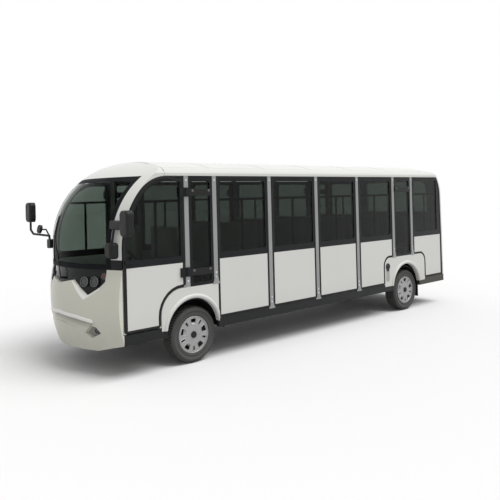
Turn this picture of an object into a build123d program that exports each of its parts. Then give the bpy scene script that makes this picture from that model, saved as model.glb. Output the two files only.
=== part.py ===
from build123d import *
import math
import os

os.makedirs("parts", exist_ok=True)

# An enclosed electric sightseeing bus: a hollow body on a ladder chassis, with hinged doors,
# steered front wheels and rows of bench seats. Millimetres, +X forward, +Y to the bus's left,
# +Z up, origin on the ground under the middle of the body.

# Body envelope
BODY_HALF_W = 760
WALL = 42
ROOF_TOP = 2060
ROOF_SEAM_Z = 1878
EAVE_Z = 1890
CROWN_EDGE_Y = BODY_HALF_W - 70
CROWN_EDGE_Z = 1962
NOSE_X = 2926
NOSE_MID_Z = 560
CHIN_X = 2850
CHIN_Z = 240
COWL_Z = 960
SCREEN_X = 2893
SCREEN_FOOT_Z = 1180
SCREEN_R = 862
SCREEN_TURN = 45.3
SCREEN_HALF_W = BODY_HALF_W - 110
SCREEN_BASE_Z = 1012
DOOR_POST_W = 12
GLASS_T = 6
PANE_SETBACK = 8
REAR_SILL_X = -2926
REAR_WAIST_X = -2915
REAR_TOP_X = -2899
REAR_BROW_R = 460
REAR_POST_W = 26
REAR_WINDOW_HALF_W = BODY_HALF_W - 220
REAR_WINDOW_ROUND = 60

# Heights along the side
SILL_Z0 = 320
SILL_Z1 = 416
WAIST_Z = 1022
WINDOW_Z0 = 1092
WINDOW_Z1 = 1826
ARCH_TOP_Z = 775

# Clearances
SEAM = 0.3
DOOR_GAP = 8
GLASS_FIT = 0.3
GLASS_LAP = 8

# Pillars, by their centres along X
PILLAR_W = 53
P1_X = 1906
P2_X = 1546
AB_X = 753
BC_X = -34
CD_X = -830
DN_X = -1628
NE_X = -2078

# Wheels and arches
AXLE_FRONT_X = 1819
AXLE_REAR_X = -1939
TYRE_R = 283
TYRE_W = 165
TYRE_FACE_Y = BODY_HALF_W - 35
RIM_R = 186
HUB_R = 34
ARCH_R = 322
ARCH_Z = 335
ARCH_AHEAD = 25
ARCH_FRONT_X1 = 2230
ARCH_FRONT_ROUND = 250
ARCH_REAR_X0 = -2384
ARCH_REAR_X1 = -1402
ARCH_REAR_ROUND = 110
LIP_W = 44
LIP_PROUD = 14
LIP_FOOT_Z = SILL_Z1 - 30
KING_PIN_Y = TYRE_FACE_Y - 190
KING_PIN_R = 16

# Floor and chassis
FLOOR_Z0 = 430
FLOOR_T = 30
FLOOR_SETBACK = 60
RAIL_Y = BODY_HALF_W - 470
RAIL_W = 60
RAIL_H = 80
RAIL_FRONT_X = 2560
RAIL_REAR_X = -2700
SPRING_LEN = 900
SPRING_T = 24
SPRING_W = 50
AXLE_BEAM_H = 56
AXLE_TUBE_R = 38
TOW_EYE_R = 20
TOW_EYE_Z = 288
JACK_R = 40
JACK_T = 10
JACK_X = (1200, -1250)
BATTERY_X0 = -680
BATTERY_X1 = 580
BATTERY_Z0 = 220
FLAP_T = 8
FLAP_INSET = 12
FLAP_Z0 = 150

# Seats
SEAT_Z = 870
CUSHION_T = 110
CUSHION_L = 420
BACK_T = 95
BACK_TOP_Z = 1400
BENCH_HALF_W = BODY_HALF_W - 120
BENCH_LEG_Y = BENCH_HALF_W - 200
LEG_W = 40
SEAT_ROUND = 30

# Steering
STEER_WHEEL_R = 190
STEER_GRIP_R = 14
STEER_X = 2350
STEER_Y = 370
STEER_Z = 1040
STEER_RAKE = 35

FLOOR_Z1 = FLOOR_Z0 + FLOOR_T
WALL_Y0 = BODY_HALF_W - WALL
WHEEL_Y = TYRE_FACE_Y - TYRE_W / 2
RAIL_Z0 = FLOOR_Z0 - RAIL_H
TAIL_TOP_Z = ROOF_TOP - REAR_BROW_R
FAR = 4000

# Plan bow of the two ends: station across the width, fall-back of the nose, fall-back of the tail
BOW = [
    (0, 0, 0),
    (BODY_HALF_W - 500, 36, 2),
    (BODY_HALF_W - 240, 138, 6),
    (BODY_HALF_W - 60, 212, 12),
    (BODY_HALF_W, 240, 22),
]


def block(x0, x1, y0, y1, z0, z1):
    """A box given by its limits."""
    return Pos((x0 + x1) / 2, (y0 + y1) / 2, (z0 + z1) / 2) * Box(x1 - x0, y1 - y0, z1 - z0)


def slab(face, y0, y1):
    """An X-Z outline drawn out from y0 to y1."""
    return Pos(0, y1, 0) * extrude(Plane.XZ * face, y1 - y0)


def bar(face, x0, x1):
    """A Y-Z outline drawn out from x0 to x1."""
    return Pos(x0, 0, 0) * extrude(Plane.YZ * face, x1 - x0)


def polygon(*points):
    return make_face(Polyline(*points, close=True))


def rectangle(x0, x1, z0, z1, round_r=0):
    face = Pos((x0 + x1) / 2, (z0 + z1) / 2) * Rectangle(x1 - x0, z1 - z0)
    return fillet(face.vertices(), round_r) if round_r else face


def rod(start, end, radius):
    """A round bar between two points."""
    axis = Vector(*end) - Vector(*start)
    return extrude(Plane(origin=start, z_dir=axis) * Circle(radius), axis.length)


def both_sides(shape):
    """The left-hand solid and its mirror image."""
    return [shape, mirror(shape, about=Plane.XZ)]


def write(node, *shapes):
    """Every solid of one node, in one file."""
    solids = []
    for shape in shapes:
        solids += shape.solids()
    export_step(Compound(children=solids), "parts/" + node + ".step")


def side_outline(inset, nose_fall, tail_fall):
    """Lengthwise outline of the body at one station across its width."""
    turn = math.radians(SCREEN_TURN)
    screen_c = (SCREEN_X - SCREEN_R - nose_fall, SCREEN_FOOT_Z)
    joint_x = screen_c[0] + SCREEN_R * math.cos(turn)
    joint_z = screen_c[1] + SCREEN_R * math.sin(turn)
    brow_r = (ROOF_TOP - joint_z) / (1 - math.sin(turn))
    brow_c = (joint_x - brow_r * math.cos(turn), joint_z - brow_r * math.sin(turn))
    front = -nose_fall - inset
    back = tail_fall + inset
    floor_z = CHIN_Z - inset
    tail_brow = CenterArc((REAR_TOP_X + tail_fall + REAR_BROW_R, TAIL_TOP_Z), REAR_BROW_R - inset, 90, 90)
    waist = (REAR_WAIST_X + back, WAIST_Z)
    sill = (REAR_SILL_X + back, floor_z)
    screen = CenterArc(screen_c, SCREEN_R - inset, 0, SCREEN_TURN)
    brow = CenterArc(brow_c, brow_r - inset, SCREEN_TURN, 90 - SCREEN_TURN)
    nose = ThreePointArc(
        (CHIN_X + front, floor_z), (NOSE_X + front, NOSE_MID_Z), (SCREEN_X + front, COWL_Z)
    )
    edges = [
        nose,
        Line(nose @ 1, screen @ 0),
        screen,
        brow,
        Line(brow @ 1, tail_brow @ 0),
        tail_brow,
        Line(tail_brow @ 1, waist),
        Line(waist, sill),
        Line(sill, nose @ 0),
    ]
    return make_face(edges)


def envelope(inset):
    """The body's outer form, taken in by a wall thickness."""
    narrow = (BODY_HALF_W - inset) / BODY_HALF_W
    rows = [(-y, nose, tail) for y, nose, tail in reversed(BOW[1:])] + BOW
    sections = []
    for y, nose_fall, tail_fall in rows:
        sections.append(Pos(0, y * narrow, 0) * (Plane.XZ * side_outline(inset, nose_fall, tail_fall)))
    form = loft(sections)
    half = BODY_HALF_W - inset
    edge_y = CROWN_EDGE_Y - inset
    edge_z = CROWN_EDGE_Z - inset
    rail = ThreePointArc(
        (half + 5, EAVE_Z - inset), (half - 24, CROWN_EDGE_Z - 24 - inset), (edge_y, edge_z)
    )
    crown = ThreePointArc((edge_y, edge_z), (0, ROOF_TOP - inset), (-edge_y, edge_z))
    section = make_face(
        [
            rail,
            crown,
            mirror(rail, about=Plane.YZ),
            Line((-half - 5, EAVE_Z - inset), (-half - 5, 0)),
            Line((-half - 5, 0), (half + 5, 0)),
            Line((half + 5, 0), (half + 5, EAVE_Z - inset)),
        ]
    )
    return form & bar(section, -FAR, FAR)


def skin_point(form, y, z):
    """The foremost point of a form at a place on its front, with the way it faces."""
    hits = form.find_intersection_points(Axis((0, y, z), (1, 0, 0)))
    return max(hits, key=lambda hit: hit[0].X)


OUTER = envelope(0)
SHELL = OUTER - envelope(WALL)
GLASS_SKIN = OUTER - envelope(GLASS_T)

# Doors and fixed panels of one side, front to back. Columns: name, rear edge, front edge
PANEL_EDGE = PILLAR_W / 2 + DOOR_GAP
ROWS = [
    ("row_1", AB_X + PANEL_EDGE, P2_X - PANEL_EDGE),
    ("row_2", BC_X + PANEL_EDGE, AB_X - PANEL_EDGE),
    ("row_3", CD_X + PANEL_EDGE, BC_X - PANEL_EDGE),
    ("row_4", DN_X + PANEL_EDGE, CD_X - PANEL_EDGE),
]
DOOR_Z0 = SILL_Z1 + DOOR_GAP
DOOR_Z1 = ROOF_SEAM_Z - DOOR_GAP
FRAME_W = 46
BROW_DROP = 150
BROW_FLAT = 190
NARROW_FRAME_W = 34
WINDOW_ROUND = 30
HANDLE_Z = 1080
HANDLE_L = 86
HANDLE_H = 34
HANDLE_OUT = 14


def arch_front_face(grow):
    """The panel round the front wheel, or the room for it."""
    face = rectangle(P2_X - PILLAR_W / 2 - grow, ARCH_FRONT_X1 + grow, SILL_Z0 - 2 * grow, ARCH_TOP_Z + grow)
    corner = face.vertices().sort_by(Axis.X)[-2:].sort_by(Axis.Y)[-1:]
    return fillet(corner, ARCH_FRONT_ROUND + grow)


def arch_rear_face(grow):
    """The panel round the rear wheel, or the room for it."""
    face = rectangle(ARCH_REAR_X0 - grow, ARCH_REAR_X1 + grow, SILL_Z0 - 2 * grow, ARCH_TOP_Z + grow)
    return fillet(face.vertices().sort_by(Axis.Y)[-2:], ARCH_REAR_ROUND + grow)


def wheel_hole(axle_x, radius):
    return Pos(axle_x + ARCH_AHEAD, ARCH_Z) * Circle(radius)


def driver_face(grow):
    """Outline of the front door, its front edge following the screen post."""
    edge_x = SCREEN_X - BOW[-1][1] - DOOR_POST_W + grow
    centre = (SCREEN_X - SCREEN_R - BOW[-1][1], SCREEN_FOOT_Z)
    post_r = SCREEN_R - DOOR_POST_W + grow
    rear_x = P1_X + PANEL_EDGE - grow
    z0 = DOOR_Z0 - grow
    z1 = DOOR_Z1 + grow
    # The door's top meets the post's curve a little behind the crown of that curve.
    sweep_deg = math.degrees(math.asin((z1 - BROW_DROP - SCREEN_FOOT_Z) / post_r))
    post = CenterArc(centre, post_r, 0, sweep_deg)
    brow = TangentArc(post @ 1, (rear_x + BROW_FLAT, z1), tangent=post % 1)
    edges = [
        Line((rear_x, z0), (edge_x, z0)),
        Line((edge_x, z0), post @ 0),
        post,
        brow,
        Line(brow @ 1, (rear_x, z1)),
        Line((rear_x, z1), (rear_x, z0)),
    ]
    return make_face(edges)


def window_face(x0, x1, z0=WINDOW_Z0, z1=WINDOW_Z1):
    return rectangle(x0 + FRAME_W, x1 - FRAME_W, z0, z1, WINDOW_ROUND)


def glazed(face, window):
    """A panel as thick as the wall with a pane held in a groove: panel, pane."""
    pane_y1 = BODY_HALF_W - PANE_SETBACK
    pane_y0 = pane_y1 - GLASS_T
    pane_face = offset(window, GLASS_LAP)
    groove_face = offset(window, GLASS_LAP + GLASS_FIT)
    panel = slab(face, WALL_Y0, BODY_HALF_W) - slab(window, WALL_Y0 - 1, BODY_HALF_W + 1)
    panel -= slab(groove_face, pane_y0 - GLASS_FIT, pane_y1 + GLASS_FIT)
    return panel, slab(pane_face, pane_y0, pane_y1)


# Front door
front_face = driver_face(0) - arch_front_face(DOOR_GAP)
front_window = offset(driver_face(0), -FRAME_W) & rectangle(-FAR, FAR, WINDOW_Z0, WINDOW_Z1)
front_panel_solid, front_pane = glazed(front_face, front_window)
HINGE_Y = BODY_HALF_W + 12
HINGE_R = 11
HINGE_REACH = 62
HINGE_HALF_H = 45
LEAF_OUT = 8
HINGE_Z = (925, 1715)


def hinge_leaf(x_axis, reach):
    """Leaves of one hinged edge, in front of the axis for the door or behind it for the post."""
    leaves = []
    for z in HINGE_Z:
        x0, x1 = sorted((x_axis + math.copysign(HINGE_R + 2, reach), x_axis + reach))
        leaves.append(block(x0, x1, BODY_HALF_W, HINGE_Y + LEAF_OUT, z - HINGE_HALF_H, z + HINGE_HALF_H))
    return leaves


def hinge_axis_x(rear_edge):
    return rear_edge - DOOR_GAP / 2


def handle(x1):
    """A door handle ending at x1."""
    z0 = HANDLE_Z - HANDLE_H / 2
    z1 = HANDLE_Z + HANDLE_H / 2
    grip = block(x1 - HANDLE_L, x1, BODY_HALF_W - 1, BODY_HALF_W + HANDLE_OUT, z0, z1)
    return fillet(grip.edges().filter_by(Axis.Y), HANDLE_H / 4)


HANDLE_INSET = 22
front_leaf = hinge_leaf(hinge_axis_x(P1_X + PANEL_EDGE), HINGE_REACH)
front_edge_x = SCREEN_X - BOW[-1][1] - DOOR_POST_W
front_panel_solid = front_panel_solid + front_leaf + handle(front_edge_x - HANDLE_INSET)
write("door_driver", front_panel_solid)
write("door_driver_glass", front_pane)
write("door_front_right", mirror(front_panel_solid, about=Plane.XZ))
write("door_front_right_glass", mirror(front_pane, about=Plane.XZ))

# Row panels: fixed on the left, hinged doors on the right
fixed_panels = []
fixed_panes = []
for row, x0, x1 in ROWS:
    face = rectangle(x0, x1, DOOR_Z0, DOOR_Z1) - arch_rear_face(DOOR_GAP) - arch_front_face(DOOR_GAP)
    panel, pane = glazed(face, window_face(x0, x1))
    door = panel + hinge_leaf(hinge_axis_x(x0), HINGE_REACH) + handle(x1 - HANDLE_INSET)
    write("door_" + row, mirror(door, about=Plane.XZ))
    write("door_" + row + "_glass", mirror(pane, about=Plane.XZ))
    left_x0 = x0 - DOOR_GAP + SEAM
    left_x1 = x1 + DOOR_GAP - SEAM
    left_face = rectangle(left_x0, left_x1, SILL_Z1 + SEAM, ROOF_SEAM_Z - SEAM)
    left_face = left_face - arch_rear_face(SEAM) - arch_front_face(SEAM)
    panel, pane = glazed(left_face, window_face(left_x0, left_x1))
    fixed_panels.append(panel)
    fixed_panes.append(pane)
write("row_panels_left", *fixed_panels)

# Narrow windows over the wheels and the rearmost panels, on both sides
end_panels = []
NARROW = [(P2_X, P1_X), (NE_X, DN_X)]
for x_rear, x_front in NARROW:
    x0 = x_rear + PILLAR_W / 2 + SEAM
    x1 = x_front - PILLAR_W / 2 - SEAM
    face = rectangle(x0, x1, ARCH_TOP_Z + SEAM, ROOF_SEAM_Z - SEAM)
    pane_x = (x0 + NARROW_FRAME_W, x1 - NARROW_FRAME_W)
    window = rectangle(*pane_x, ARCH_TOP_Z + NARROW_FRAME_W, WINDOW_Z1, WINDOW_ROUND)
    panel, pane = glazed(face, window)
    end_panels += both_sides(panel)
    fixed_panes += both_sides(pane)


def rear_edge_x(z):
    """The side's rear edge at a height, in front of the tail's corner."""
    fall = BOW[-1][2] + REAR_POST_W
    if z < WAIST_Z:
        share = (z - CHIN_Z) / (WAIST_Z - CHIN_Z)
        return fall + REAR_SILL_X + share * (REAR_WAIST_X - REAR_SILL_X)
    if z < TAIL_TOP_Z:
        share = (z - WAIST_Z) / (TAIL_TOP_Z - WAIST_Z)
        return fall + REAR_WAIST_X + share * (REAR_TOP_X - REAR_WAIST_X)
    return fall + REAR_TOP_X + REAR_BROW_R - math.sqrt(REAR_BROW_R**2 - (z - TAIL_TOP_Z) ** 2)


tail_x1 = NE_X - PILLAR_W / 2 - SEAM
tail_z1 = ROOF_SEAM_Z - SEAM
tail_mid_z = (TAIL_TOP_Z + tail_z1) / 2
tail_edge = [(rear_edge_x(z), z) for z in (SILL_Z1 + SEAM, WAIST_Z, TAIL_TOP_Z, tail_mid_z, tail_z1)]
tail_face = make_face(
    [
        Polyline((tail_x1, tail_z1), (tail_x1, SILL_Z1 + SEAM), *tail_edge[:3]),
        ThreePointArc(*tail_edge[2:]),
        Line(tail_edge[-1], (tail_x1, tail_z1)),
    ]
)
tail_window = window_face(rear_edge_x(WINDOW_Z1), tail_x1)
panel, pane = glazed(tail_face - arch_rear_face(SEAM), tail_window)
end_panels += both_sides(panel)
fixed_panes += both_sides(pane)
write("end_panels", *end_panels)
write("side_glass", *fixed_panes)

# Pillars, each with the post leaf of the hinge it carries on the door side
# Columns: centre, foot height, hinged on the left, hinged on the right
PILLARS = [
    (P1_X, ARCH_TOP_Z, True, True),
    (P2_X, ARCH_TOP_Z, False, False),
    (AB_X, SILL_Z1, False, True),
    (BC_X, SILL_Z1, False, True),
    (CD_X, SILL_Z1, False, True),
    (DN_X, ARCH_TOP_Z, False, True),
    (NE_X, ARCH_TOP_Z, False, False),
]
PIN_R = 7
WEB_T = 6
pillars = []
for x, foot_z, left_hinge, right_hinge in PILLARS:
    post_x = (x - PILLAR_W / 2, x + PILLAR_W / 2)
    post = block(*post_x, WALL_Y0, BODY_HALF_W, foot_z + SEAM, ROOF_SEAM_Z - SEAM)
    axis_x = hinge_axis_x(x + PANEL_EDGE)
    leaf = hinge_leaf(axis_x, -HINGE_REACH)
    pins = []
    for z in HINGE_Z:
        z0 = z - HINGE_HALF_H
        z1 = z + HINGE_HALF_H
        pins.append(rod((axis_x, HINGE_Y, z0), (axis_x, HINGE_Y, z1), PIN_R))
        pins.append(block(axis_x - HINGE_R - 4, axis_x, HINGE_Y - WEB_T / 2, HINGE_Y + WEB_T / 2, z0, z1))
    hung = post + leaf + pins
    pillars.append(hung if left_hinge else post)
    pillars.append(mirror(hung if right_hinge else post, about=Plane.XZ))
write("pillars", *pillars)

# Wheel arch panels with raised lips, and the sills between them
arch_panels = []
for face, axle_x in ((arch_front_face(0), AXLE_FRONT_X), (arch_rear_face(0), AXLE_REAR_X)):
    face = face - rectangle(-FAR, FAR, 0, LIP_FOOT_Z)
    bulge = ThreePointArc((ARCH_R, 0), (ARCH_R + LIP_W / 2, LIP_PROUD), (ARCH_R + LIP_W, 0))
    lip = revolve(make_face([bulge, Line(bulge @ 1, bulge @ 0)]), Axis.Y)
    lip = Pos(axle_x + ARCH_AHEAD, BODY_HALF_W, ARCH_Z) * lip & slab(face, 0, FAR)
    panel = slab(face - wheel_hole(axle_x, ARCH_R), WALL_Y0, BODY_HALF_W) + lip
    arch_panels += both_sides(panel)
write("arch_panels", *arch_panels)
sill_front_x = front_edge_x
sill_face = rectangle(rear_edge_x(SILL_Z0), sill_front_x, SILL_Z0, SILL_Z1)
for axle_x in (AXLE_FRONT_X, AXLE_REAR_X):
    sill_face = sill_face - wheel_hole(axle_x, ARCH_R)
sills = slab(sill_face, WALL_Y0, BODY_HALF_W)
for face in (arch_front_face(SEAM), arch_rear_face(SEAM)):
    sills = sills - slab(face & rectangle(-FAR, FAR, LIP_FOOT_Z - SEAM, FAR), 0, FAR)
write("sills", *both_sides(sills))

# Roof, front and rear shells
CAP_SEAM_X = 2160
CROSS_SEAM_X = (P2_X, AB_X, BC_X, CD_X, DN_X)
ROOF_GROOVE_W = 7
ROOF_GROOVE_D = 4
roof = SHELL & block(-FAR, FAR, -FAR, FAR, ROOF_SEAM_Z, FAR)
roof_skin = OUTER - envelope(ROOF_GROOVE_D)
half_w = ROOF_GROOVE_W / 2
rail_x0 = REAR_TOP_X + REAR_BROW_R
rail_seam = block(rail_x0, CAP_SEAM_X, CROWN_EDGE_Y - half_w, CROWN_EDGE_Y + half_w, ROOF_SEAM_Z, FAR)
cuts = [block(CAP_SEAM_X - half_w, CAP_SEAM_X + half_w, -FAR, FAR, ROOF_SEAM_Z, FAR), *both_sides(rail_seam)]
for x in CROSS_SEAM_X:
    cuts.append(block(x - half_w, x + half_w, -CROWN_EDGE_Y, CROWN_EDGE_Y, ROOF_SEAM_Z, FAR))
for cut in cuts:
    roof = roof - (roof_skin & cut)
write("roof_panel", roof)
door_room = slab(driver_face(DOOR_GAP), WALL_Y0 - SEAM, FAR) + slab(
    rectangle(-FAR, sill_front_x + SEAM, 0, SILL_Z1), WALL_Y0 - SEAM, FAR
)
door_room = door_room + mirror(door_room, about=Plane.XZ)
front_x0 = P1_X + PILLAR_W / 2
front_shell = SHELL & block(front_x0, FAR, -FAR, FAR, CHIN_Z, ROOF_SEAM_Z - SEAM)
front_shell = front_shell - door_room
screen_room = block(front_x0, FAR, -SCREEN_HALF_W, SCREEN_HALF_W, SCREEN_BASE_Z, FAR)
write("front_pillars", (front_shell - screen_room) & block(0, FAR, -FAR, FAR, SCREEN_BASE_Z, FAR))
nose = front_shell & block(0, FAR, -FAR, FAR, 0, SCREEN_BASE_Z - SEAM)

# Nose: lamp recess under the screen, bumper groove, fog lamp recesses, chin rising to the sides.
# Points on the left half as (Y, Z), with Y counted in from the body's side.
SIDE = BODY_HALF_W
COWL_MID_Z = 860
LAMP_EDGE = [
    (SIDE - 543, 900),
    (SIDE - 361, 765),
    (SIDE - 223, 850),
    (SIDE - 169, 902),
    (SIDE - 157, SCREEN_BASE_Z),
]
CHAMFER_EDGE = [
    (SIDE - 572, 872),
    (SIDE - 384, 720),
    (SIDE - 211, 816),
    (SIDE - 150, 886),
    (SIDE - 140, SCREEN_BASE_Z),
]
GROOVE_TOP = [(0, 568), (SIDE - 484, 548), (SIDE - 270, 512)]
GROOVE_LOW = [(0, 486), (SIDE - 500, 456), (SIDE - 398, 412)]
FOG_EDGE = [(SIDE - 330, 488), (SIDE - 268, 478), (SIDE - 222, 420), (SIDE - 332, 366), (SIDE - 398, 412)]
CHIN_EDGE = [(SIDE - 310, CHIN_Z), (SIDE - 160, 280), (SIDE + 1, SILL_Z0), (SIDE + 1, 0), (SIDE - 310, 0)]
BEZEL_D = 24
BEZEL_T = 10
GROOVE_TURN = 12
GROOVE_PIVOT_Z = 440
FOG_D = 26


def mirrored(points):
    return [(-y, z) for y, z in reversed(points)]


def chamfer_cuts(inner, outer):
    """Cuts with sloping sides on the left half: wide at the skin, narrow at the bezel."""
    corner = inner[1]
    origin, away = skin_point(OUTER, *corner)
    plane = Plane(origin=origin, x_dir=(-away.Y, away.X, 0), z_dir=away)
    across = plane.x_dir
    rising = plane.y_dir
    faces = []
    for points, lift in ((inner, -BEZEL_D), (outer, 2), (outer, 2 * BEZEL_D)):
        flat = []
        for y, z in points + [(points[-1][0], SCREEN_BASE_Z + 100), (points[0][0], SCREEN_BASE_Z + 100)]:
            up = (z - origin.Z) / rising.Z
            flat.append(((y - origin.Y - up * rising.Y) / across.Y, up))
        faces.append(plane * Pos(0, 0, lift) * polygon(*flat))
    return loft(faces[:2], ruled=True), loft(faces[1:], ruled=True)


bezel_face = polygon((0, COWL_MID_Z), *LAMP_EDGE, *mirrored(LAMP_EDGE))
bezel_front = envelope(BEZEL_D)
bezel_floor = envelope(BEZEL_D + BEZEL_T)
fog_floor = envelope(FOG_D)
nose = nose - (bar(bezel_face, front_x0, FAR) - bezel_floor)
for cut in chamfer_cuts(LAMP_EDGE, CHAMFER_EDGE):
    nose = nose - both_sides(cut)
groove_low = mirrored(GROOVE_LOW)[:-1] + GROOVE_LOW
groove_face = polygon(*mirrored(GROOVE_TOP)[:-1], *GROOVE_TOP, *reversed(groove_low))
# The groove's floor is the skin leant back about the groove's lower edge.
lean = Pos(NOSE_X, 0, GROOVE_PIVOT_Z) * Rot(0, -GROOVE_TURN, 0) * Pos(-NOSE_X, 0, -GROOVE_PIVOT_Z)
nose = nose - (bar(groove_face, front_x0, FAR) - lean * OUTER)
for points in (FOG_EDGE, mirrored(FOG_EDGE)):
    nose = nose - (bar(polygon(*points), front_x0, FAR) - fog_floor)
for points in (CHIN_EDGE, mirrored(CHIN_EDGE)):
    nose = nose - bar(polygon(*points), front_x0, FAR)
write("front_panel", nose)
write("lamp_bezels", bar(offset(bezel_face, -SEAM), front_x0, FAR) & (bezel_front - bezel_floor))

# Lamps, each a ringed drum square to the skin. Columns: Y, Z, ring radius, height, floor it stands on
LAMPS = [
    (SIDE - 405, 888, 50, 20, bezel_front),
    (SIDE - 297, 893, 50, 20, bezel_front),
    (SIDE - 205, 946, 28, 16, bezel_front),
    (SIDE - 289, 435, 25, 12, fog_floor),
]
RING_W = 9
LENS_DEPTH = 7
LAMP_BACK = 30
lamps = []
for y, z, ring_r, height, floor in LAMPS:
    seat, away = skin_point(floor, y, z)
    drum = rod(tuple(seat - away * LAMP_BACK), tuple(seat + away * height), ring_r)
    lens = seat + away * (height - LENS_DEPTH)
    drum = drum - rod(tuple(lens), tuple(seat + away * (height + 1)), ring_r - RING_W)
    lamps += both_sides(drum - floor)
write("head_lamps", *lamps)
TAIL_LAMP_T = 9
tail_lamp_face = rectangle(SIDE - 190, SIDE - 104, 700, 985, 30)
tail_lamp = bar(tail_lamp_face, -FAR, 0) & (envelope(-TAIL_LAMP_T) - OUTER)
write("tail_lamps", *both_sides(tail_lamp))

# Wiper: a spindle on the bezel, an arm up the screen and a blade that follows the glass
WIPER_FOOT = (30, 905)
WIPER_Y = -190
WIPER_R = 6
WIPER_LIFT = 38
BLADE_R = 7
BLADE_Z = (1050, 1140, 1230, 1320, 1410, 1500)
foot, away = skin_point(bezel_front, *WIPER_FOOT)
elbow = foot + away * WIPER_LIFT
blade = []
for z in BLADE_Z:
    glass, away = skin_point(OUTER, WIPER_Y, z)
    blade.append(tuple(glass + away * (BLADE_R + SEAM)))
tip = Vector(*blade[len(blade) // 2])
wiper = rod(tuple(foot), tuple(elbow), 2 * WIPER_R) + rod(tuple(elbow), tuple(tip), WIPER_R)
wiper = wiper + Pos(*elbow) * Sphere(2 * WIPER_R)
for start, end in zip(blade[:-1], blade[1:]):
    wiper = wiper + rod(start, end, BLADE_R) + Pos(*end) * Sphere(BLADE_R)
write("wiper", (wiper - OUTER) + rod(tuple(foot), tuple(elbow), 2 * WIPER_R))

# Charging socket's cap on the left rear arch panel
CHARGE_X = -1468
CHARGE_Z = 658
CHARGE_R = 44
CHARGE_T = 12
TAB_HALF_W = 22
TAB_DROP = 18
cap = rod((CHARGE_X, SIDE, CHARGE_Z), (CHARGE_X, SIDE + CHARGE_T, CHARGE_Z), CHARGE_R)
cap = chamfer(cap.edges().group_by(Axis.Y)[-1], CHARGE_T / 2)
tab_z0 = CHARGE_Z - CHARGE_R - TAB_DROP
tab = block(CHARGE_X - TAB_HALF_W, CHARGE_X + TAB_HALF_W, SIDE, SIDE + CHARGE_T / 2, tab_z0, CHARGE_Z)
write("charge_port", cap + tab)

# Windscreen, rear shell with its window, and rear bumper
screen_pane_room = block(
    front_x0, FAR, SEAM - SCREEN_HALF_W, SCREEN_HALF_W - SEAM, SCREEN_BASE_Z, ROOF_SEAM_Z - SEAM
)
write("windscreen", GLASS_SKIN & screen_pane_room)
floor_back_x = REAR_TOP_X + FLOOR_SETBACK
rear_shell = SHELL & block(-FAR, tail_x1, -FAR, FAR, SILL_Z1, ROOF_SEAM_Z - SEAM)
side_face = tail_face + rectangle(tail_x1 - 1, FAR, 0, FAR)
side_face = side_face + rectangle(rear_edge_x(SILL_Z1), FAR, 0, SILL_Z1 + WALL)
side_room = slab(side_face, WALL_Y0 - SEAM, FAR)
rear_shell = rear_shell - side_room - mirror(side_room, about=Plane.XZ)
rear_window = rectangle(-REAR_WINDOW_HALF_W, REAR_WINDOW_HALF_W, WINDOW_Z0, WINDOW_Z1, REAR_WINDOW_ROUND)
write("rear_panel", rear_shell - bar(rear_window, -FAR, 0))
write("rear_glass", GLASS_SKIN & bar(offset(rear_window, -GLASS_FIT), -FAR, 0))
bumper = SHELL & block(-FAR, floor_back_x, -FAR, FAR, SILL_Z0, SILL_Z1 - SEAM)
sill_room = block(rear_edge_x(SILL_Z0) - SEAM, FAR, WALL_Y0 - SEAM, FAR, 0, FAR)
write("rear_bumper", bumper - sill_room - mirror(sill_room, about=Plane.XZ))

# Ladder chassis with outriggers to the sills, tow eyes and jacking pads
CROSS_X = (RAIL_FRONT_X - 60, 1300, 640, -740, -1420, RAIL_REAR_X + 60)
CROSS_HALF_W = 30
CROSS_DROP = 10
OUTRIGGER_X = (RAIL_FRONT_X - 140, AB_X, BC_X, CD_X, RAIL_REAR_X + 100)
OUTRIGGER_HALF_W = 25
OUTRIGGER_H = 40
EYE_HALF_T = 9
EYE_R = 44
frame = block(RAIL_REAR_X, RAIL_FRONT_X, RAIL_Y, RAIL_Y + RAIL_W, RAIL_Z0, FLOOR_Z0)
frame = frame + mirror(frame, about=Plane.XZ)
for x in CROSS_X:
    frame = frame + block(x - CROSS_HALF_W, x + CROSS_HALF_W, -RAIL_Y, RAIL_Y, RAIL_Z0 + CROSS_DROP, FLOOR_Z0)
for x in OUTRIGGER_X:
    arm_x = (x - OUTRIGGER_HALF_W, x + OUTRIGGER_HALF_W)
    arm = block(*arm_x, RAIL_Y + RAIL_W, WALL_Y0 - SEAM, FLOOR_Z0 - OUTRIGGER_H, FLOOR_Z0)
    frame = frame + both_sides(arm)
for x in (RAIL_FRONT_X - CROSS_HALF_W, RAIL_REAR_X + CROSS_HALF_W):
    eye_x = (x - CROSS_HALF_W, x + CROSS_HALF_W)
    eye = block(*eye_x, -EYE_HALF_T, EYE_HALF_T, TOW_EYE_Z, RAIL_Z0 + CROSS_DROP)
    eye = eye + rod((x, -EYE_HALF_T, TOW_EYE_Z), (x, EYE_HALF_T, TOW_EYE_Z), EYE_R)
    eye = eye - rod((x, -EYE_R, TOW_EYE_Z), (x, EYE_R, TOW_EYE_Z), TOW_EYE_R)
    frame = frame + eye
for x in JACK_X:
    for y in (RAIL_Y + RAIL_W / 2, -RAIL_Y - RAIL_W / 2):
        frame = frame + rod((x, y, RAIL_Z0 - JACK_T), (x, y, RAIL_Z0), JACK_R)
write("chassis_frame", frame)

# Floor, wheel housings, mud flaps and battery
HOUSING_T = 6
HOUSING_FRONT_R = 352
HOUSING_REAR_R = 330
HOUSING_FRONT_Y = TYRE_FACE_Y - 323
HOUSING_REAR_Y = TYRE_FACE_Y - 180
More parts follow.
